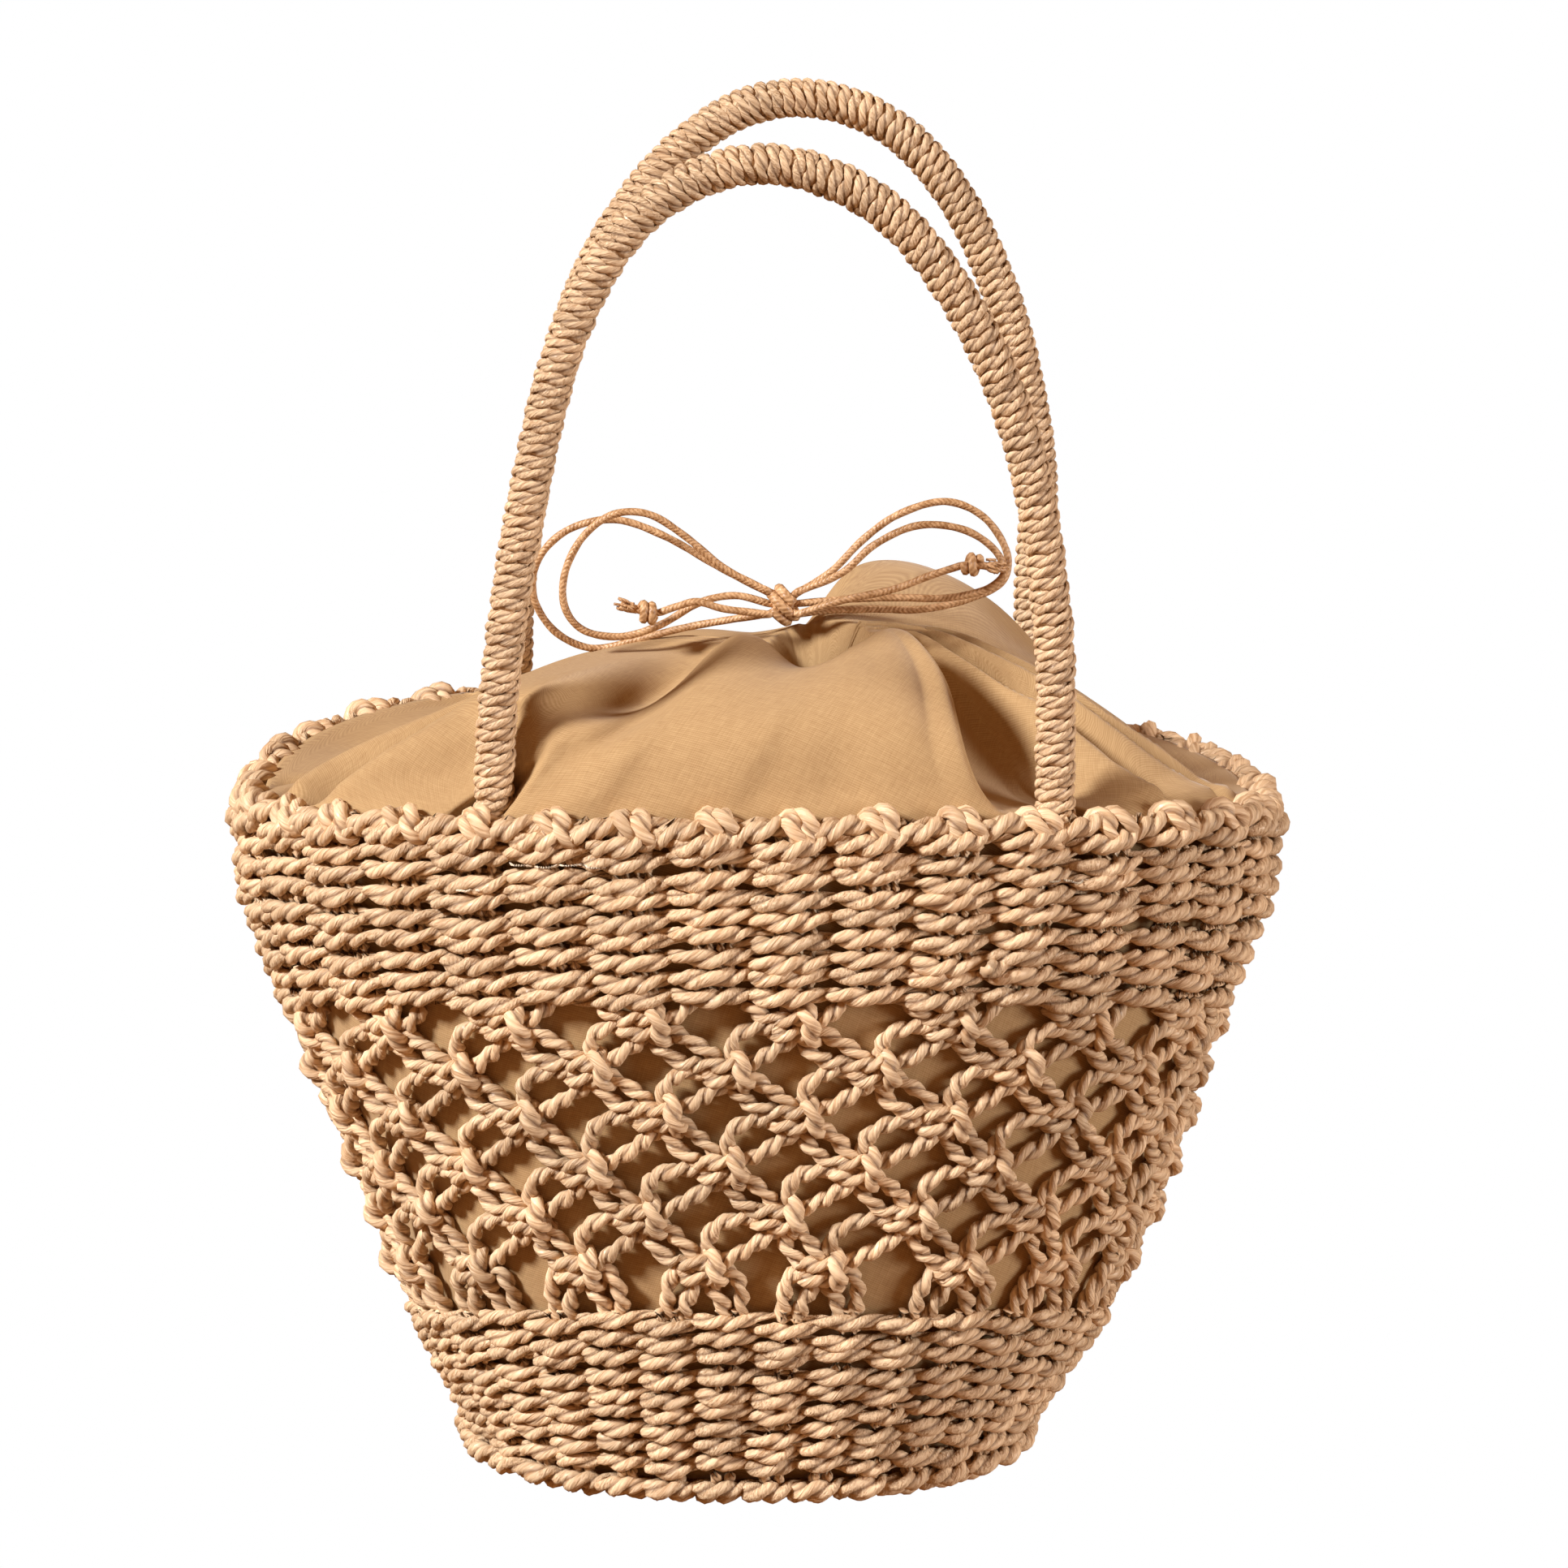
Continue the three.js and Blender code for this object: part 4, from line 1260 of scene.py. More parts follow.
@dataclass
class KnottedNet:
    """The open net: rows of square knots, each on two core strands, joined by pairs of strands.

    Attributes:
        knots: Knots in a row.
        first: Place of the first knot, in knot steps from the front centre.
        foot, head: Levels that the net lies between.
        heights: Each row's share of the net's height, from the top.
        drift: How far each row has slipped to the left, in knot steps.
        slip_jig, hop_jig: How far a knot strays along its row, in knot steps, and up or down.
        bar_swell, loop_swell: Radius of a knot's bar and loop as a share of the rope's.
    """

    finish: bpy.types.Material
    wall: BagWall
    rope: Rope
    knots: int = 18
    first: float = 0.32
    foot: float = 2.0
    head: float = 4.0
    heights: tuple[float, ...] = (0.955, 0.813, 0.655, 0.487, 0.326, 0.152)
    drift: tuple[float, ...] = (0.0, 0.0, 0.0, 0.07, 0.17, 0.25)
    inset: float = 3.9
    point_step: float = 1.25
    slip_jig: float = 0.035
    hop_jig: float = 0.5
    bar_swell: float = 1.08
    loop_swell: float = 1.18
    girth_jig: float = 0.07
    tone_jig: float = 0.15
    seed: int = 41

    def __post_init__(self) -> None:
        """Draws each knot's own small shifts."""
        rng = np.random.default_rng(self.seed)
        shape = (len(self.heights), self.knots)
        self.slip = rng.normal(0, self.slip_jig, shape)
        self.hop = rng.normal(0, self.hop_jig, shape)
        self.tone = rng.uniform(0.2, 0.8, shape)
        self.rng = rng

    def spot(self, row: Array, knot: Array) -> tuple[Array, Array]:
        """Gives the share and level of knots.

        Args:
            row: Each knot's row.
            knot: Its number in the row, which may pass the last one.

        Returns:
            Shares and levels.
        """
        half = np.where(row % 2 == 0, 0.0, -0.5)
        slip = self.slip[row, knot % self.knots]
        share = (knot + self.first + half - np.array(self.drift)[row] + slip) / self.knots
        level = self.foot + (self.head - self.foot) * np.array(self.heights)[row]
        return self.wall.shift(share, level, 0.0, self.hop[row, knot % self.knots])

    def lay(self, rows: Array, table: tuple[Spot, ...]) -> tuple[Array, Array]:
        """Runs one strand of the same kind at every knot of some rows.

        Args:
            rows: The rows.
            table: The strand's control points.

        Returns:
            Dense lines and their outward directions.
        """
        row = np.repeat(rows, self.knots)
        knot = np.tile(np.arange(self.knots), len(rows))

        def find(which: Knot) -> tuple[Array, Array]:
            """Finds one of the knots about each strand.

            Args:
                which: The knot.

            Returns:
                Its shares and levels.
            """
            down, right = which.value
            step = right if down == 0 else right - np.where(row % 2 == 0, 0, 1)
            return self.spot(row + down, knot + step)

        places = []
        for spot in table:
            share, level = find(spot.knot)
            if spot.toward:
                far_share, far_level = find(spot.toward)
                share = share + spot.across * (far_share - share)
                level = level + spot.up * (far_level - level)
            else:
                share, level = self.wall.shift(share, level, spot.across, spot.up)
            places.append((share, level, np.full_like(share, self.inset - spot.out)))
        return self.wall.run(places)

    def strand(self, rows: list[int], *tables: tuple[Spot, ...], swell: float = 1.0) -> Patch:
        """Sweeps one kind of strand at every knot of some rows.

        Args:
            rows: The rows.
            *tables: The strand's control points, in order.
            swell: Its radius as a share of the rope's.

        Returns:
            The strands.
        """
        lines, outs = self.lay(np.array(rows), sum(tables, ()))
        if tables[0] is LOOP:
            outs = np.cross(outs, UP)
        count = round(line_length(lines[0]) / self.point_step)
        lines, outs = even(lines, count, outs)
        wave = 1 + self.girth_jig * ripple(self.rng, len(lines), 9, np.linspace(0, 8, count))
        tones = self.tone[np.array(rows)].ravel() + self.rng.normal(0, self.tone_jig, len(lines))
        tones = np.clip(tones, 0, 1)
        phase = self.rng.uniform(0, math.tau, len(lines))
        return self.rope.sweep(lines, outs, swell * wave, tones, phase=phase)

    def build(self) -> None:
        """Makes the net's strands and its knots."""
        top, last = 0, len(self.heights) - 1
        inner = list(range(top + 1, last))
        bar = near(Knot.HERE, *UPPER_BAR)
        next_bar = near(Knot.LOWER_RIGHT, *UPPER_BAR)
        strands = [
            self.strand([top], LEFT_CORE_FROM_BAND, LEFT_CORE, LEFT_CORE_OUT),
            self.strand(inner, LEFT_CORE_IN, LEFT_CORE, LEFT_CORE_OUT),
            self.strand([last], LEFT_CORE_IN, LEFT_CORE, LEFT_CORE_TO_BAND),
            self.strand([top], RIGHT_CORE_FROM_BAND, RIGHT_CORE, RIGHT_CORE_OUT, next_bar),
            self.strand(inner, RIGHT_CORE_IN, RIGHT_CORE, RIGHT_CORE_OUT, next_bar),
            self.strand([last], RIGHT_CORE_IN, RIGHT_CORE, RIGHT_CORE_TO_BAND),
            self.strand([top], UPPER_BAR_FROM_BAND, bar),
            self.strand([top], SIDE_FROM_BAND),
            self.strand([last], LEFT_OUT_TO_BAND),
            self.strand([last], RIGHT_OUT_TO_BAND),
        ]
        make_piece("net_band_strands", strands, self.finish, Slot.PAPER_ROPE, "net_band")
        every = list(range(len(self.heights)))
        knots = [
            self.strand(every, LOWER_BAR, swell=self.bar_swell),
            self.strand(every, LOOP, swell=self.loop_swell),
        ]
        make_piece("net_band_knots", knots, self.finish, Slot.PAPER_ROPE)


# Each row is millimetres across, up and out from the middle of a stake's turned-down end.
RIM_LOOP = (
    (-1.4, -6.0, -3.0), (-1.2, -2.4, -4.0), (-1.0, 1.0, -3.2), (-0.5, 2.6, -0.8), (0.2, 2.2, 1.6),
    (1.2, 0.2, 2.8), (2.2, -2.4, 2.2), (2.9, -4.6, -0.2))
RIM_RUN = (
    (3.4, -3.2, -0.6), (6.0, -1.8, 1.6), (9.6, -0.6, 2.3), (13.4, 0.4, 1.9), (17.0, 0.8, 0.2),
    (20.0, 0.0, -2.0))
# Distance between two stakes that both tables are drawn for
RIM_STEP = 21.5


@dataclass
class RimBraid:
    """The rim: each stake's strands turned down in a double loop, with runs of rope between them.

    Attributes:
        level, weft_level: Levels of the loops' middle and of the weft under them.
        columns, phase: Stakes round the rim, and the first one's place in columns.
        loop_gap: Distance between a stake's two loops.
        weft_swell, loop_swell, run_swell: Radius of each kind of strand as a share of the rope's.
        jig: How far a strand strays along, up and out.
        core_depth: How far inside the loops the core lies.
    """

    finish: bpy.types.Material
    wall: BagWall
    rope: Rope
    level: float = 5.83
    weft_level: float = 5.74
    columns: int = 36
    phase: float = 0.5
    inset: float = 4.2
    loop_gap: float = 4.5
    point_step: float = 1.2
    weft_swell: float = 1.06
    loop_swell: float = 1.15
    run_swell: float = 1.1
    jig: Point = (0.5, 0.45, 0.2)
    core_depth: float = 0.9
    core_steps: int = 260
    seed: int = 71

    def hang(
        self, table: tuple[Point, ...], aside: float, swell: float, rng: np.random.Generator
    ) -> Patch:
        """Repeats one strand at every stake.

        Args:
            table: The strand's control points.
            aside: How far along the rim it is moved.
            swell: Its radius as a share of the rope's.
            rng: Seeded source of its unevenness.

        Returns:
            The strands.
        """
        base = (np.arange(self.columns) + self.phase) / self.columns
        level = np.full(self.columns, self.level)
        along_jig, up_jig, out_jig = rng.normal(0, 1, (3, self.columns)) * np.array(self.jig)[:, None]
        scale = self.wall.girth(self.level) / self.columns / RIM_STEP
        places = []
        for across, up, out in table:
            share, height = self.wall.shift(base, level, across * scale + aside + along_jig, up + up_jig)
            places.append((share, height, self.inset - out + out_jig))
        lines, outs = self.wall.run(places)
        if table is RIM_LOOP:
            outs = np.cross(outs, UP)
        lines, outs = even(lines, round(line_length(lines[0]) / self.point_step), outs)
        tones = rng.uniform(0.15, 0.85, self.columns)
        phase = rng.uniform(0, math.tau, self.columns)
        return self.rope.sweep(lines, outs, swell, tones, phase=phase)

    def build(self) -> None:
        """Makes the rim's loops, runs and the weft under them."""
        rng = np.random.default_rng(self.seed)
        weave = Twining(climb=2.0, sag=1.2, front=0.0, columns=self.columns, phase=self.phase)
        lines, outs, swells, tones = weave.weave(self.wall, np.array([self.weft_level]), rng)
        patches = [
            self.rope.sweep(lines, outs, swells * self.weft_swell, tones, closed=True),
            self.hang(RIM_LOOP, -self.loop_gap / 2, self.loop_swell, rng),
            self.hang(RIM_LOOP, self.loop_gap / 2, self.loop_swell, rng),
            self.hang(RIM_RUN, 0.0, self.run_swell, rng),
        ]
        share = np.linspace(0, 1, self.core_steps, endpoint=False)
        level = np.full_like(share, self.level)
        core = self.wall.place(share, level, self.inset + self.core_depth)[None]
        outs = self.wall.outward(share, level)[None]
        patches.append(self.rope.sweep(core, outs, self.run_swell, 0.3, closed=True))
        make_piece("rim_braid_rope", patches, self.finish, Slot.PAPER_ROPE, "rim_braid")


@dataclass
class Foot:
    """The foot: a thick plaited border round a base of coiled rows.

    Attributes:
        border_level, tuck_level: Levels of the border's outer plait and of the one tucked under it.
        tuck: How far inside the outer plait the tucked one lies.
        base_inset: The base's outermost row inside the wall.
        base_steps: Points round that row.
        base_waves, base_wave: How often and how far a row goes up and down on its way round.
    """

    finish: bpy.types.Material
    wall: BagWall
    border_level: float = 0.66
    tuck_level: float = 0.3
    tuck: float = 2.6
    border_radius: float = 3.0
    base_rows: int = 13
    base_radius: float = 2.3
    base_height: float = 2.5
    base_inset: float = 3.0
    base_steps: int = 260
    base_waves: int = 18
    base_wave: float = 0.35
    seed: int = 91

    def build(self) -> None:
        """Makes the border and the base."""
        rng = np.random.default_rng(self.seed)
        wale = Twining(front=-2.0, start=-1.0, end=2.2, back=3.4, climb=0.9, sag=0.5, stagger=0.4, loose=0.4)
        rope = Rope(radius=self.border_radius, pitch=14.0, groove=0.42, stray=0.3, bulge=0.1)
        plaits = []
        for level, tuck in ((self.border_level, 0.0), (self.tuck_level, self.tuck)):
            lines, outs, swells, tones = wale.weave(self.wall, np.array([level]), rng)
            lines -= tuck * outs
            lines[..., 2] = np.maximum(lines[..., 2], self.border_radius)
            plaits.append(rope.sweep(lines, outs, swells, tones, closed=True))
        make_piece("foot_border_plait", plaits, self.finish, Slot.PAPER_ROPE, "foot_border")

        coil = Rope(radius=self.base_radius, pitch=11.0, sides=6)
        rings = []
        for row in range(self.base_rows):
            size = (row + 0.6) / self.base_rows
            share = np.linspace(0, 1, max(24, int(self.base_steps * size)), endpoint=False)
            edge = self.wall.place(share, np.zeros_like(share), self.base_inset) * [size, size, 0]
            wave = self.base_wave * np.sin(math.tau * share * self.base_waves + row * math.pi)
            edge[:, 2] = self.base_height + wave
            tone = 0.5 + 0.3 * ripple(rng, 1, 12, share * 12)
            rings.append(coil.sweep(edge[None], -UP, 1.0, tone, closed=True))
        make_piece("base_mat_coil", rings, self.finish, Slot.PAPER_ROPE, "base_mat")


# Points along each handle's middle, from its left foot over the top to its right foot
FRONT_HANDLE = (
    (-71.5, -78.8, 174), (-71.5, -78.8, 205), (-69, -80, 240), (-61.2, -82, 288), (-49.6, -83.3, 332),
    (-30, -84.5, 363.2), (0, -85, 376.5), (32, -84.5, 366.2), (56, -83.2, 338.2), (72.5, -81, 299.3),
    (80.6, -78, 252), (81.8, -75.6, 212), (81.5, -75.2, 174),
)
BACK_HANDLE = (
    (-73.3, 78.2, 180), (-73.3, 78.2, 212), (-70.5, 80, 250), (-61.5, 82, 296), (-48.3, 83.6, 334),
    (-28.8, 84.6, 362.3), (-7, 85, 379), (16, 85, 383), (38.5, 84.6, 375.3), (57.2, 84, 355.7),
    (72, 83, 325.3), (82.5, 81, 280), (82, 77.5, 240), (81, 75.3, 208), (81, 75.3, 180),
)


@dataclass
class WoundHandle:
    """A rope handle wound from end to end with a flattened two-ply strand.

    Attributes:
        node: The CAD node that it stands for.
        wrap_pitch, wrap_width, wrap_squeeze: The winding's step, and its strand's width and flatness.
        ply_pitch: Length of one turn of the strand's plies.
        out_jig, along_jig: How far a turn strays outwards and along the handle.
    """

    finish: bpy.types.Material
    node: str
    route: tuple[Point, ...]
    seed: int
    diameter: float = 11.0
    wrap_pitch: float = 3.3
    wrap_width: float = 3.8
    wrap_squeeze: float = 0.62
    ply_pitch: float = 12.5
    turn_steps: int = 24
    out_jig: float = 0.18
    along_jig: float = 0.28
    core_step: float = 4.0

    def build(self) -> None:
        """Makes the core and the winding."""
        rng = np.random.default_rng(self.seed)
        curve = spline(np.array(self.route, float)[None], 40)
        length = line_length(curve[0])
        strand = Rope(
            radius=self.wrap_width / 2, pitch=self.ply_pitch, groove=0.42, squeeze=self.wrap_squeeze)
        reach = self.diameter / 2 - strand.radius * strand.squeeze

        turns = length / self.wrap_pitch
        steps = int(turns * self.turn_steps)
        (line,) = even(curve, steps)
        tangent = unit(np.gradient(line[0], axis=0))
        across = unit(DEEP - (tangent @ DEEP)[:, None] * tangent)
        over = np.cross(tangent, across)
        s = np.linspace(0, turns, steps)
        angle = (math.tau * s)[:, None]
        way = np.cos(angle) * across + np.sin(angle) * over
        out_jig, along_jig = ripple(rng, 2, int(turns * 2), s * 2)[..., None]
        wound = line[0] + way * (reach + self.out_jig * out_jig) + tangent * (self.along_jig * along_jig)
        tone = 0.4 + 0.35 * ripple(rng, 1, int(turns), s)
        wraps = strand.sweep(wound[None], way[None], 1.0, tone)

        (core_line,) = even(curve, int(length / self.core_step))
        core = Rope(radius=reach, pitch=30.0, groove=0.95)
        inside = core.sweep(core_line, DEEP, 1.0, 0.2)
        make_piece(f"{self.node}_winding", [wraps, inside], self.finish, Slot.PAPER_ROPE, self.node)


@dataclass(frozen=True)
class Fold:
    """A fold of the drawn cloth.

    Attributes:
        path: Ways from the rim to the mouth, each with the fold's share there.
        left, right: The fold's half widths in shares.
        lift: How far it stands out, or in where negative.
        crest, spread: Where on the way it is highest, and how far it reaches from there.
        power: 2 for round sides, more for a flat top with steep sides.
    """

    path: tuple[tuple[float, float], ...]
    left: float
    right: float
    lift: float
    crest: float = 0.5
    spread: float = 0.4
    power: float = 2.0

    def height(self, share: Array, step: Array) -> Array:
        """Gives how far the fold lifts the cloth.

        Args:
            share: Shares round the rim.
            step: Ways from the rim to the mouth.

        Returns:
            The lift at each place.
        """
        ways, shares = zip(*self.path)
        turned = [s if s < 0.6 else s - 1 for s in shares] if max(shares) - min(shares) > 0.5 else shares
        away = (share - np.interp(step, ways, turned) + 0.5) % 1 - 0.5
        side = np.abs(away / np.where(away < 0, self.left, self.right)) ** self.power
        return self.lift * np.exp(-side - ((step - self.crest) / self.spread) ** 2)


# Each line of the drawn cloth leaves the rim at a share and runs through four places to the mouth's lip.
CLOTH_LINES = (
    # Front middle, right lobe's crest and its edge, then the cloth tucked under that edge
    (0.0, (3, -86, 220), (6, -72, 230.5), (9.5, -56, 235), (12, -43, 234), (13, -37, 231)),
    (0.04, (31, -84, 221.5), (31, -68, 233), (30, -51, 239), (28, -40, 240), (26, -35, 234)),
    (0.066, (47, -81, 219), (45, -62, 232), (41, -45, 240), (36, -35, 243.5), (30, -33.5, 239)),
    (0.085, (57.5, -76, 212.5), (53, -54, 226), (46.5, -39, 236), (40, -29, 242), (30.8, -31.7, 242)),
    (0.0905, (55, -66, 206), (50.5, -45, 215), (44, -31, 228.5), (38.5, -23.5, 240), (30.7, -31.1, 242.6)),
    (0.097, (63, -64, 203), (58, -42, 210), (48, -25, 226), (40, -19, 239.5), (30.6, -30.6, 243)),
    (0.12, (77, -60, 202), (69, -40, 212), (57, -24, 228), (44, -16, 239), (30.2, -29.5, 243.3)),
    # Right side
    (0.15, (97, -55, 203), (81, -38, 217), (64, -22, 229), (47, -14, 238.5), (29.5, -28.3, 243.5)),
    (0.2, (119, -31, 195), (97, -23, 211), (75, -14, 227), (52, -10, 238.5), (28.5, -26.8, 243.5)),
    (0.25, (125, -2, 193), (102, -2, 212), (78, -2, 229), (54, -5, 240), (27, -25, 243.5)),
    (0.3, (118, 30, 194), (97, 25, 212), (78, 18, 230), (57, 8, 243.5), (25, -23, 243.5)),
    # High lobe at the back right, then the back
    (0.36, (97, 58, 203), (82, 44, 223), (66, 30, 243), (45, 16, 252.5), (21.5, -20.5, 243.5)),
    (0.43, (52, 78, 215), (46, 60, 234), (37, 40, 249), (27, 17, 253), (18, -18.5, 243)),
    (0.5, (2, 80, 211), (5, 62, 221), (8, 42, 229), (10, 18, 234), (14, -16.8, 242)),
    (0.57, (-46, 78, 213), (-36, 60, 223), (-24, 38, 230), (-8, 12, 234), (10, -16.3, 241)),
    (0.65, (-96, 54, 203), (-74, 42, 216), (-48, 25, 228), (-20, 5, 234), (6.5, -18.5, 240)),
    # Left side and its shoulder
    (0.72, (-120, 16, 197), (-92, 12, 212), (-60, 5, 226.5), (-27, -2, 236), (4, -23, 239)),
    (0.79, (-120, -19, 199), (-94, -18, 212), (-64, -16, 226.5), (-30, -7, 236), (2.3, -28, 238)),
    (0.86, (-90, -62, 210), (-82, -54, 219.5), (-70, -43, 229), (-35, -12, 235), (1.2, -31.5, 237)),
    # Cloth close behind the leg, bulge, dent, left lobe's ridge and its front
    (0.882, (-70, -69, 212), (-69, -66, 222), (-64, -59, 231), (-31, -17, 234.5), (0.7, -34, 236)),
    (0.9, (-62, -78, 214), (-59, -73, 224), (-53, -65, 232.5), (-25, -22, 234), (0.2, -34.7, 236)),
    (0.918, (-53, -81, 214.5), (-45, -74, 223.5), (-33, -47, 224), (-16, -31, 232), (0, -35.4, 236.5)),
    (0.942, (-42, -83.5, 215), (-33, -70, 223), (-21, -54, 231), (-8.5, -39, 241), (0.5, -36, 238)),
    (0.97, (-20, -86, 219), (-15, -73, 230), (-8, -56, 237.5), (-0.5, -42, 242.5), (6.5, -37, 235)),
)

FOLDS = (
    # Pleats to the left rim
    Fold(((0, 0.836), (0.16, 0.845), (0.3, 0.852), (0.7, 0.86)), 0.008, 0.013, 5.6, 0.2, 0.28),
    Fold(((0, 0.822), (0.3, 0.83), (0.8, 0.82)), 0.009, 0.0032, -14.0, 0.26, 0.36),
    Fold(((0, 0.806), (0.41, 0.806), (0.8, 0.8)), 0.009, 0.009, 5.6, 0.22, 0.3),
    Fold(((0, 0.79), (0.41, 0.775), (0.8, 0.75)), 0.009, 0.0032, -14.0, 0.28, 0.36),
    Fold(((0, 0.756), (0.4, 0.742), (0.8, 0.72)), 0.009, 0.0032, -10.0, 0.3, 0.34),
    # Pleats to the right rim: each rises slowly and drops steeply into a crease beside the next
    Fold(((0, 0.158), (0.15, 0.152), (0.43, 0.147), (0.7, 0.128)), 0.018, 0.004, 7.5, 0.28, 0.36),
    Fold(((0, 0.166), (0.15, 0.159), (0.43, 0.154), (0.7, 0.135)), 0.003, 0.007, -12.5, 0.28, 0.38),
    Fold(((0, 0.192), (0.2, 0.188), (0.37, 0.17), (0.55, 0.163), (0.85, 0.155)),
         0.015, 0.004, 7.5, 0.34, 0.46),
    Fold(((0, 0.2), (0.2, 0.196), (0.37, 0.177), (0.55, 0.17), (0.85, 0.162)),
         0.003, 0.008, -12.5, 0.34, 0.48),
    Fold(((0, 0.216), (0.32, 0.208), (0.42, 0.193), (0.6, 0.188), (0.85, 0.185)),
         0.013, 0.004, 7.5, 0.34, 0.48),
    Fold(((0, 0.223), (0.32, 0.215), (0.42, 0.2), (0.6, 0.195), (0.85, 0.192)),
         0.003, 0.008, -12.5, 0.34, 0.5),
    Fold(((0, 0.24), (0.4, 0.23), (0.7, 0.22)), 0.011, 0.01, 3.0, 0.4, 0.35),
    # Faint creases down the front
    Fold(((0, 0.942), (0.2, 0.953), (0.45, 0.963)), 0.014, 0.006, 2.4, 0.16, 0.22),
    Fold(((0, 0.987), (0.17, 0.997), (0.33, 0.003)), 0.02, 0.007, 1.8, 0.16, 0.18),
    Fold(((0, 0.028), (0.2, 0.03), (0.4, 0.028)), 0.012, 0.014, -1.8, 0.14, 0.18),
    # Folds of the back
    Fold(((0, 0.44), (0.5, 0.46), (1, 0.5)), 0.02, 0.02, -5.0, 0.45, 0.35),
    Fold(((0, 0.53), (0.5, 0.53), (1, 0.52)), 0.05, 0.04, 3.0, 0.5, 0.4, 4.0),
    Fold(((0, 0.62), (0.5, 0.61), (1, 0.6)), 0.016, 0.02, -5.0, 0.45, 0.35),
    Fold(((0, 0.69), (0.5, 0.68), (1, 0.66)), 0.016, 0.016, -3.0, 0.5, 0.35),
)


@dataclass
class Lining:
    """The cotton pouch inside the bag, drawn shut over the rim in folds.

    Attributes:
        inset, rim_inset: Cloth inside the wall's outer face, and at the rim, where it leaves the wall.
        press: How far the cloth presses out into the net.
        net: Levels that the net lies between.
        floor_height, floor_curl: Height of the cloth on the base, and how far its edge turns up.
        floor_level, floor_inset, floor_rows: Where the cloth's floor ends, and its rings.
        first_level, rim_level, wall_rows: Levels that the cloth lies on the wall between, and its rings.
        hem_depth, hem_close: How far the cloth dips into the mouth, and how much narrower it gets there.
        span_rows: Rows between two places on a line of cloth.
        crowd, crowd_at: How much closer the columns stand, and the share where they stand closest.
        leg_shares, leg_depth, leg_half_width, leg_foot: Where and how far the handles' legs push it in.
        pleats, gather: Small pleats at the mouth, and how far they stand out.
        wander, wander_lift: Values and turns of each of the cloth's faint waves, and their height.
        weave_lean: How far the threads lean in the front, in degrees.
    """

    finish: bpy.types.Material
    wall: BagWall
    inset: float = 7.4
    rim_inset: float = 8.4
    press: float = 1.9
    net: tuple[float, float] = (1.9, 4.15)
    floor_height: float = 5.4
    floor_curl: float = 1.6
    floor_level: float = 0.6
    floor_inset: float = 4.5
    floor_rows: int = 9
    first_level: float = 0.75
    rim_level: float = 5.9
    hem_depth: float = 14.0
    hem_close: float = 0.45
    hem_rows: int = 8
    thickness: float = 0.6
    around: int = 480
    crowd: float = 0.62
    crowd_at: float = 0.06
    wall_rows: int = 22
    span_rows: int = 12
    leg_shares: tuple[float, ...] = (0.112, 0.395, 0.602, 0.901)
    leg_depth: float = 14.5
    leg_half_width: float = 0.0068
    leg_foot: float = 4.7
    pleats: int = 26
    gather: float = 0.06
    wander: tuple[tuple[int, float], ...] = ((14, 1.5), (22, 2.5), (34, 3.5))
    wander_lift: float = 0.15
    weave_lean: float = 21.0
    folds: tuple[Fold, ...] = FOLDS
    seed: int = 61

    def groove(self, share: Array, level: Array) -> Array:
        """Gives how far the cloth is pushed in behind the handles' legs.

        Args:
            share: Shares round the wall.
            level: Levels up the wall.

        Returns:
            Extra inset at each place.
        """
        depth = np.zeros(np.broadcast(share, level).shape)
        for leg in self.leg_shares:
            away = np.abs((share - leg + 0.5) % 1 - 0.5) / self.leg_half_width
            depth = np.maximum(depth, self.leg_depth * np.clip(1.6 - away, 0, 1) ** 1.2)
        return depth * np.clip((level - self.leg_foot) / 0.5, 0, 1)

    def slack(self, share: Array, level: Array) -> Array:
        """Gives the shallow waves of the cloth that presses out into the net.

        Args:
            share: Shares round the wall.
            level: Levels up the wall.

        Returns:
            Extra inset at each place, less than nothing where the cloth bulges.
        """
        broad = np.sin(math.tau * (5 * share + 0.13 * level))
        narrow = np.sin(math.tau * (9 * share - 0.21 * level + 0.3))
        low, high = self.net
        in_net = np.clip((level - low) / 0.25, 0, 1) * np.clip((high - level) / 0.25, 0, 1)
        return (0.45 * (broad + narrow + 2) - self.press) * in_net

    def columns(self) -> Array:
        """Gives the columns' shares, once round with the first repeated."""
        even_share = np.arange(self.around + 1) / self.around - 0.5
        return even_share - self.crowd / math.tau * np.sin(math.tau * (even_share - self.crowd_at))

    def points(self) -> Array:
        """Gives the cloth's points.

        Returns:
            Rows from the middle of the floor to the hem, by places round it.
        """
        share = self.columns()[:-1]
        rows = []
        level = np.full_like(share, self.floor_level)
        ground = self.wall.place(share, level, self.inset + self.floor_inset)
        for size in np.linspace(0.02, 1.0, self.floor_rows):
            ring = ground * [size, size, 0]
            ring[:, 2] = self.floor_height + self.floor_curl * size ** 8
            rows.append(ring)
        for level in np.linspace(self.first_level, self.rim_level, self.wall_rows):
            height = np.full_like(share, level)
            inset = self.inset + (self.rim_inset - self.inset) * np.clip(level - 5, 0, 1)
            inset = inset + self.groove(share, height) + self.slack(share, height)
            rows.append(self.wall.place(share, height, inset))
        dome = self.drawn(share, rows[-1])
        rows += list(dome)
        hem = dome[-1]
        middle = hem.mean(axis=0)
        for way in np.linspace(0, 1, self.hem_rows + 1)[1:]:
            ring = hem + (middle - hem) * [self.hem_close * way, self.hem_close * way, 0]
            ring[:, 2] -= self.hem_depth * way ** 1.5
            rows.append(ring)
        return np.array(rows)

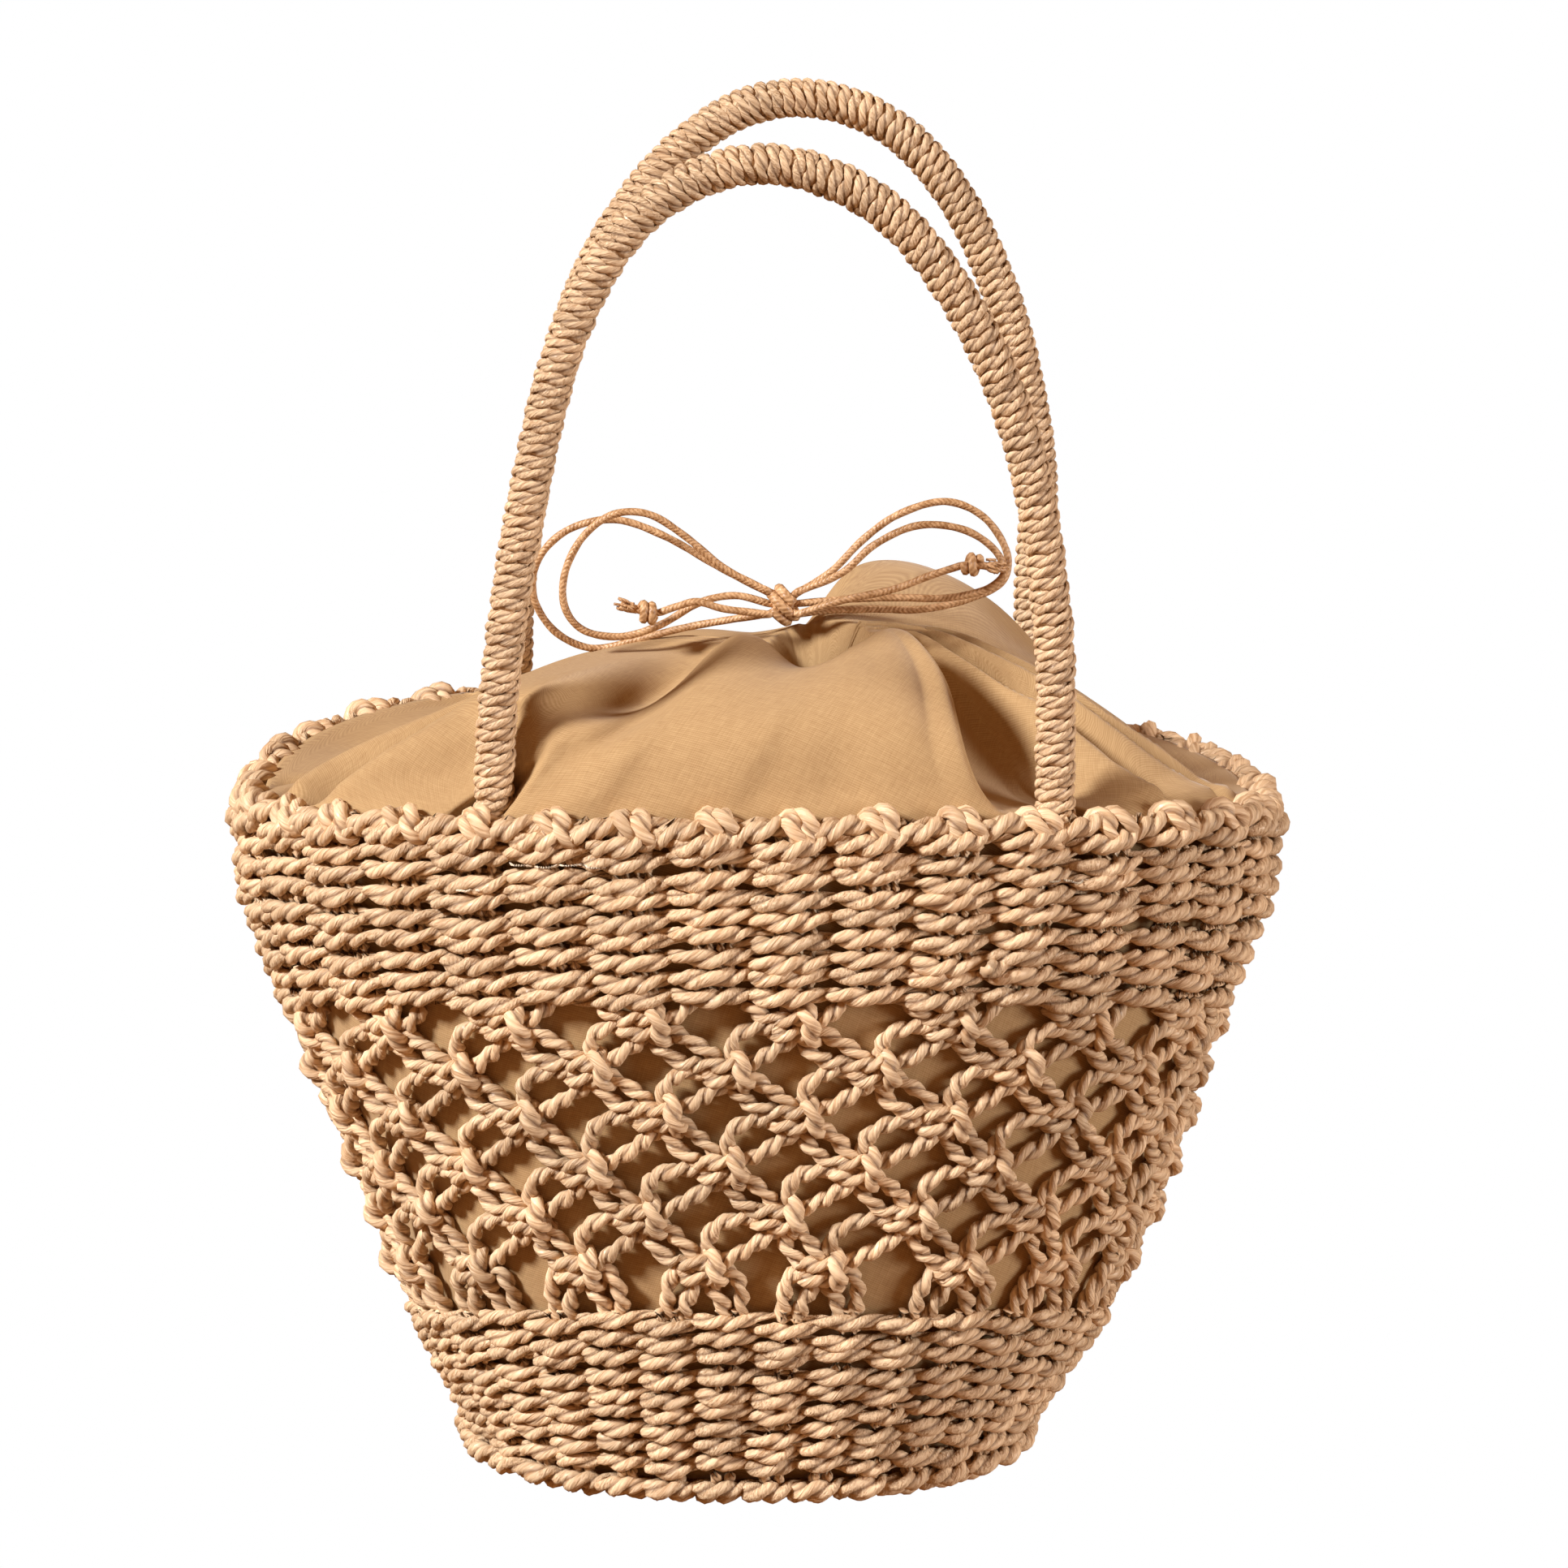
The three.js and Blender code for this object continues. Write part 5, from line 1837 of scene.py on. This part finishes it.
    def drawn(self, share: Array, edge: Array) -> Array:
        """Gives the cloth's drawn top, smooth through its lines and then folded.

        Args:
            share: Shares round the rim.
            edge: The cloth at the rim there.

        Returns:
            Rows from the rim to the mouth, by places round it.
        """
        knots = np.array([line[0] for line in CLOTH_LINES])
        starts = np.stack([np.interp(knots, share, edge[:, k], period=1.0) for k in range(3)], axis=-1)
        places = np.array([line[1:] for line in CLOTH_LINES], float)
        lines = spline(np.concatenate([starts[:, None], places], axis=1), self.span_rows)

        gap = np.roll(knots, -1) - knots
        gap[-1] += 1
        wide = gap[:, None, None]
        wide_before = np.roll(wide, 1, 0)
        slope = (np.roll(lines, -1, 0) - lines) / wide
        lean = (slope * wide_before + np.roll(slope, 1, 0) * wide) / (wide + wide_before)
        low = np.searchsorted(knots, share % 1.0, side="right") - 1
        high = (low + 1) % len(knots)
        width = wide[low]
        t = (share % 1.0 - knots[low])[:, None, None] / width
        top = (
            lines[low] * (1 + 2 * t) * (1 - t) ** 2 + lines[high] * t * t * (3 - 2 * t)
            + width * (lean[low] * t * (1 - t) ** 2 - lean[high] * t * t * (1 - t)))
        dome = np.moveaxis(top, 1, 0)
        steps = np.linspace(0, 1, len(dome))[:, None]
        dome = dome + (edge - dome[0]) * (1 - steps[..., None]) ** 6
        around_way = np.roll(dome, -1, 1) - np.roll(dome, 1, 1)
        dome += unit(np.cross(around_way, np.gradient(dome, axis=0))) * self.lift(share, steps)[..., None]
        return dome[1:]

    def lift(self, share: Array, steps: Array) -> Array:
        """Gives how far the folds raise the drawn cloth.

        Args:
            share: Shares round the rim.
            steps: Ways from the rim to the mouth, as a column.

        Returns:
            The lift by steps and shares.
        """
        rng = np.random.default_rng(self.seed)
        total = sum(fold.height(share, steps) for fold in self.folds)
        wander = sum(
            ripple(rng, 1, count, share * count)[0] * np.sin(math.pi * (steps * turns + 0.3 * count))
            for count, turns in self.wander)
        gather = self.gather * np.cos(math.tau * self.pleats * share) * steps ** 8
        return (total + self.wander_lift * wander) * np.clip(steps / 0.06, 0, 1) + gather

    def threads(self, cloth: Array) -> Array:
        """Gives the cloth's thread places, by the lengths across and up it from the middle of its front.

        Args:
            cloth: The cloth's points.

        Returns:
            Millimetres along both threads, by rows and places round it with the first repeated.
        """
        ring = np.concatenate([cloth, cloth[:, :1]], axis=1)
        across = np.zeros(ring.shape[:2])
        across[:, 1:] = np.cumsum(np.linalg.norm(np.diff(ring, axis=1), axis=-1), axis=1)
        front = np.abs(self.columns()).argmin()
        across -= across[:, front:front + 1]
        along = np.zeros(ring.shape[:2])
        along[1:] = np.cumsum(np.linalg.norm(np.diff(ring, axis=0), axis=-1), axis=0)
        lean = math.radians(self.weave_lean)
        warp = across * math.cos(lean) - along * math.sin(lean)
        weft = across * math.sin(lean) + along * math.cos(lean)
        return np.stack([warp, weft], axis=-1)

    def build(self) -> None:
        outer = self.points()
        rows, around, _ = outer.shape
        up_way = np.gradient(outer, axis=0)
        round_way = np.roll(outer, -1, 1) - np.roll(outer, 1, 1)
        inner = outer - self.thickness * unit(np.cross(round_way, up_way))
        grid = np.concatenate([outer, inner[::-1]])
        index = np.arange(2 * rows * around).reshape(2 * rows, around)
        low, high = index[:-1], index[1:]
        quads = np.stack([low, np.roll(low, -1, 1), np.roll(high, -1, 1), high], axis=-1)
        place = self.threads(outer)
        place = np.concatenate([place, place[::-1]])
        uv = np.stack([place[:-1, :-1], place[:-1, 1:], place[1:, 1:], place[1:, :-1]], axis=-2)
        caps = np.concatenate([index[:1, ::-1], index[-1:]])
        tone = np.full(index.size, 0.5)
        patch = Patch(grid.reshape(-1, 3), quads.reshape(-1, 4), caps, uv.reshape(-1, 4, 2), tone)
        piece = make_piece("lining_cloth", [patch], self.finish, Slot.COTTON_LINING, "lining")


@dataclass
class CutEnds:
    """Ends of weft ropes, cut off short where they come out of the upper band.

    Attributes:
        places: Share and level of each cut.
        run: Length that shows beside it.
        rise: How far it comes down on the way to the cut.
        dip, stand: How deep the end starts in the band, and how far the cut stands out of it.
    """

    finish: bpy.types.Material
    wall: BagWall
    rope: Rope
    places: tuple[tuple[float, float], ...] = ((0.0805, 4.44), (0.372, 4.7), (0.641, 4.5))
    run: float = 9.0
    rise: float = 1.5
    dip: float = 6.0
    stand: float = 2.0
    steps: int = 12

    def build(self) -> None:
        """Makes the ends."""
        way = np.linspace(0, 1, self.steps)
        back = 1 - way
        lines = []
        for share, level in self.places:
            shares, levels = self.wall.shift(
                np.full_like(way, share), np.full_like(way, level), self.run * back, self.rise * back)
            lines.append(self.wall.place(shares, levels, self.dip - (self.dip + self.stand) * way ** 0.7))
        # The cut itself is dark.
        tone = np.broadcast_to(0.5 - 0.5 * way ** 6, (len(lines), self.steps))
        ends = self.rope.sweep(np.array(lines), UP, 1.0, tone)
        make_piece("weft_cut_ends", [ends], self.finish, Slot.PAPER_ROPE)


# Runs of stitches below the handles' feet: share at the start, level and length
STITCH_RUNS = (
    (0.9165, 5.47, 27.0),
    (0.8955, 5.22, 9.0),
    (0.096, 5.3, 20.0),
    (0.382, 5.47, 26.0),
    (0.382, 5.22, 18.0),
    (0.588, 5.47, 26.0),
    (0.588, 5.22, 18.0),
)


@dataclass
class Stitches:
    """The off-white thread that sews the handles' feet to the upper band.

    Attributes:
        lift, dip: How far a stitch stands out of the wall, and how deep it goes in.
        wander: How far a run strays up and down.
    """

    finish: bpy.types.Material
    wall: BagWall
    radius: float = 0.38
    pitch: float = 1.6
    stitch: float = 7.0
    lift: float = 1.1
    dip: float = 2.4
    wander: float = 0.5
    steps: int = 40
    seed: int = 23

    def run(self, share: float, level: float, length: float, rng: np.random.Generator) -> Array:
        """Sews one broken line of running stitches.

        Args:
            share: Share at its start.
            level: Level that it lies at.
            length: Its length.
            rng: Seeded source of its unevenness.

        Returns:
            One line of points.
        """
        way = np.linspace(0, 1, self.steps)
        wave = np.abs(np.sin(way * math.pi * length / self.stitch)) ** 0.5
        stray = ripple(rng, 1, 8, way * 7)[0] * self.wander
        shares, levels = self.wall.shift(
            np.full_like(way, share), np.full_like(way, level), way * length, stray)
        return self.wall.place(shares, levels, self.dip - (self.dip + self.lift) * wave)

    def build(self) -> None:
        """Makes the stitches at the handles' feet."""
        rng = np.random.default_rng(self.seed)
        lines = np.array([self.run(*place, rng) for place in STITCH_RUNS])
        thread = Rope(radius=self.radius, pitch=self.pitch, sides=6, groove=0.8)
        patch = thread.sweep(lines, UP)
        make_piece("handle_stitches", [patch], self.finish, Slot.WAXED_CORD)


def main() -> None:
    """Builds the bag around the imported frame, piece by piece."""
    logging.basicConfig(level=logging.INFO, format="%(message)s")
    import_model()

    studio = Studio()
    studio.set_camera()
    Drawstring(WaxedCotton().material()).build()

    wall = BagWall()
    paper = TwistedPaper().material()
    upper_weft = Rope(radius=2.8, pitch=17.0, sides=10, groove=0.46, stray=0.3, bulge=0.1)
    upper_twining = Twining(front=1.2, back=5.5, end=4.6, climb=0.5, sag=0.8, stagger=1.9)
    TwinedBand(
        paper, wall, upper_weft, upper_twining, "upper_band", low=4.16, high=5.54, rows=8, foot=4.1,
        head=5.75, stake_strands=4, stake_radius=1.6, stake_spread=3.1, seed=11).build()
    lower_weft = Rope(radius=2.5, pitch=17.0, sides=10, groove=0.48, stray=0.3, bulge=0.1)
    lower_twining = Twining(
        front=1.5, back=5.2, end=4.3, climb=0.4, sag=0.6, stagger=2.2, front_steps=13, back_steps=6)
    TwinedBand(
        paper, wall, lower_weft, lower_twining, "lower_band", low=1.08, high=1.95, rows=9, foot=0.9,
        head=2.02, stake_strands=2, stake_radius=1.75, stake_spread=3.6, seed=12).build()
    KnottedNet(paper, wall, Rope(radius=2.55, pitch=11.5, groove=0.42, stray=0.25, bulge=0.1)).build()
    RimBraid(paper, wall, Rope(radius=2.9, pitch=13.5, groove=0.42, stray=0.25, bulge=0.1)).build()
    Foot(paper, wall).build()
    WoundHandle(paper, "front_handle", FRONT_HANDLE, seed=31, diameter=11.6).build()
    WoundHandle(paper, "back_handle", BACK_HANDLE, seed=32, diameter=12.2).build()
    Lining(WovenCotton().material(), wall).build()
    CutEnds(paper, wall, Rope(radius=2.7, pitch=13.0, groove=0.42)).build()
    Stitches(SewingCotton().material(), wall).build()

    studio.light()
    studio.lay_floor(LitAcrylic())


if __name__ == "__main__":
    main()
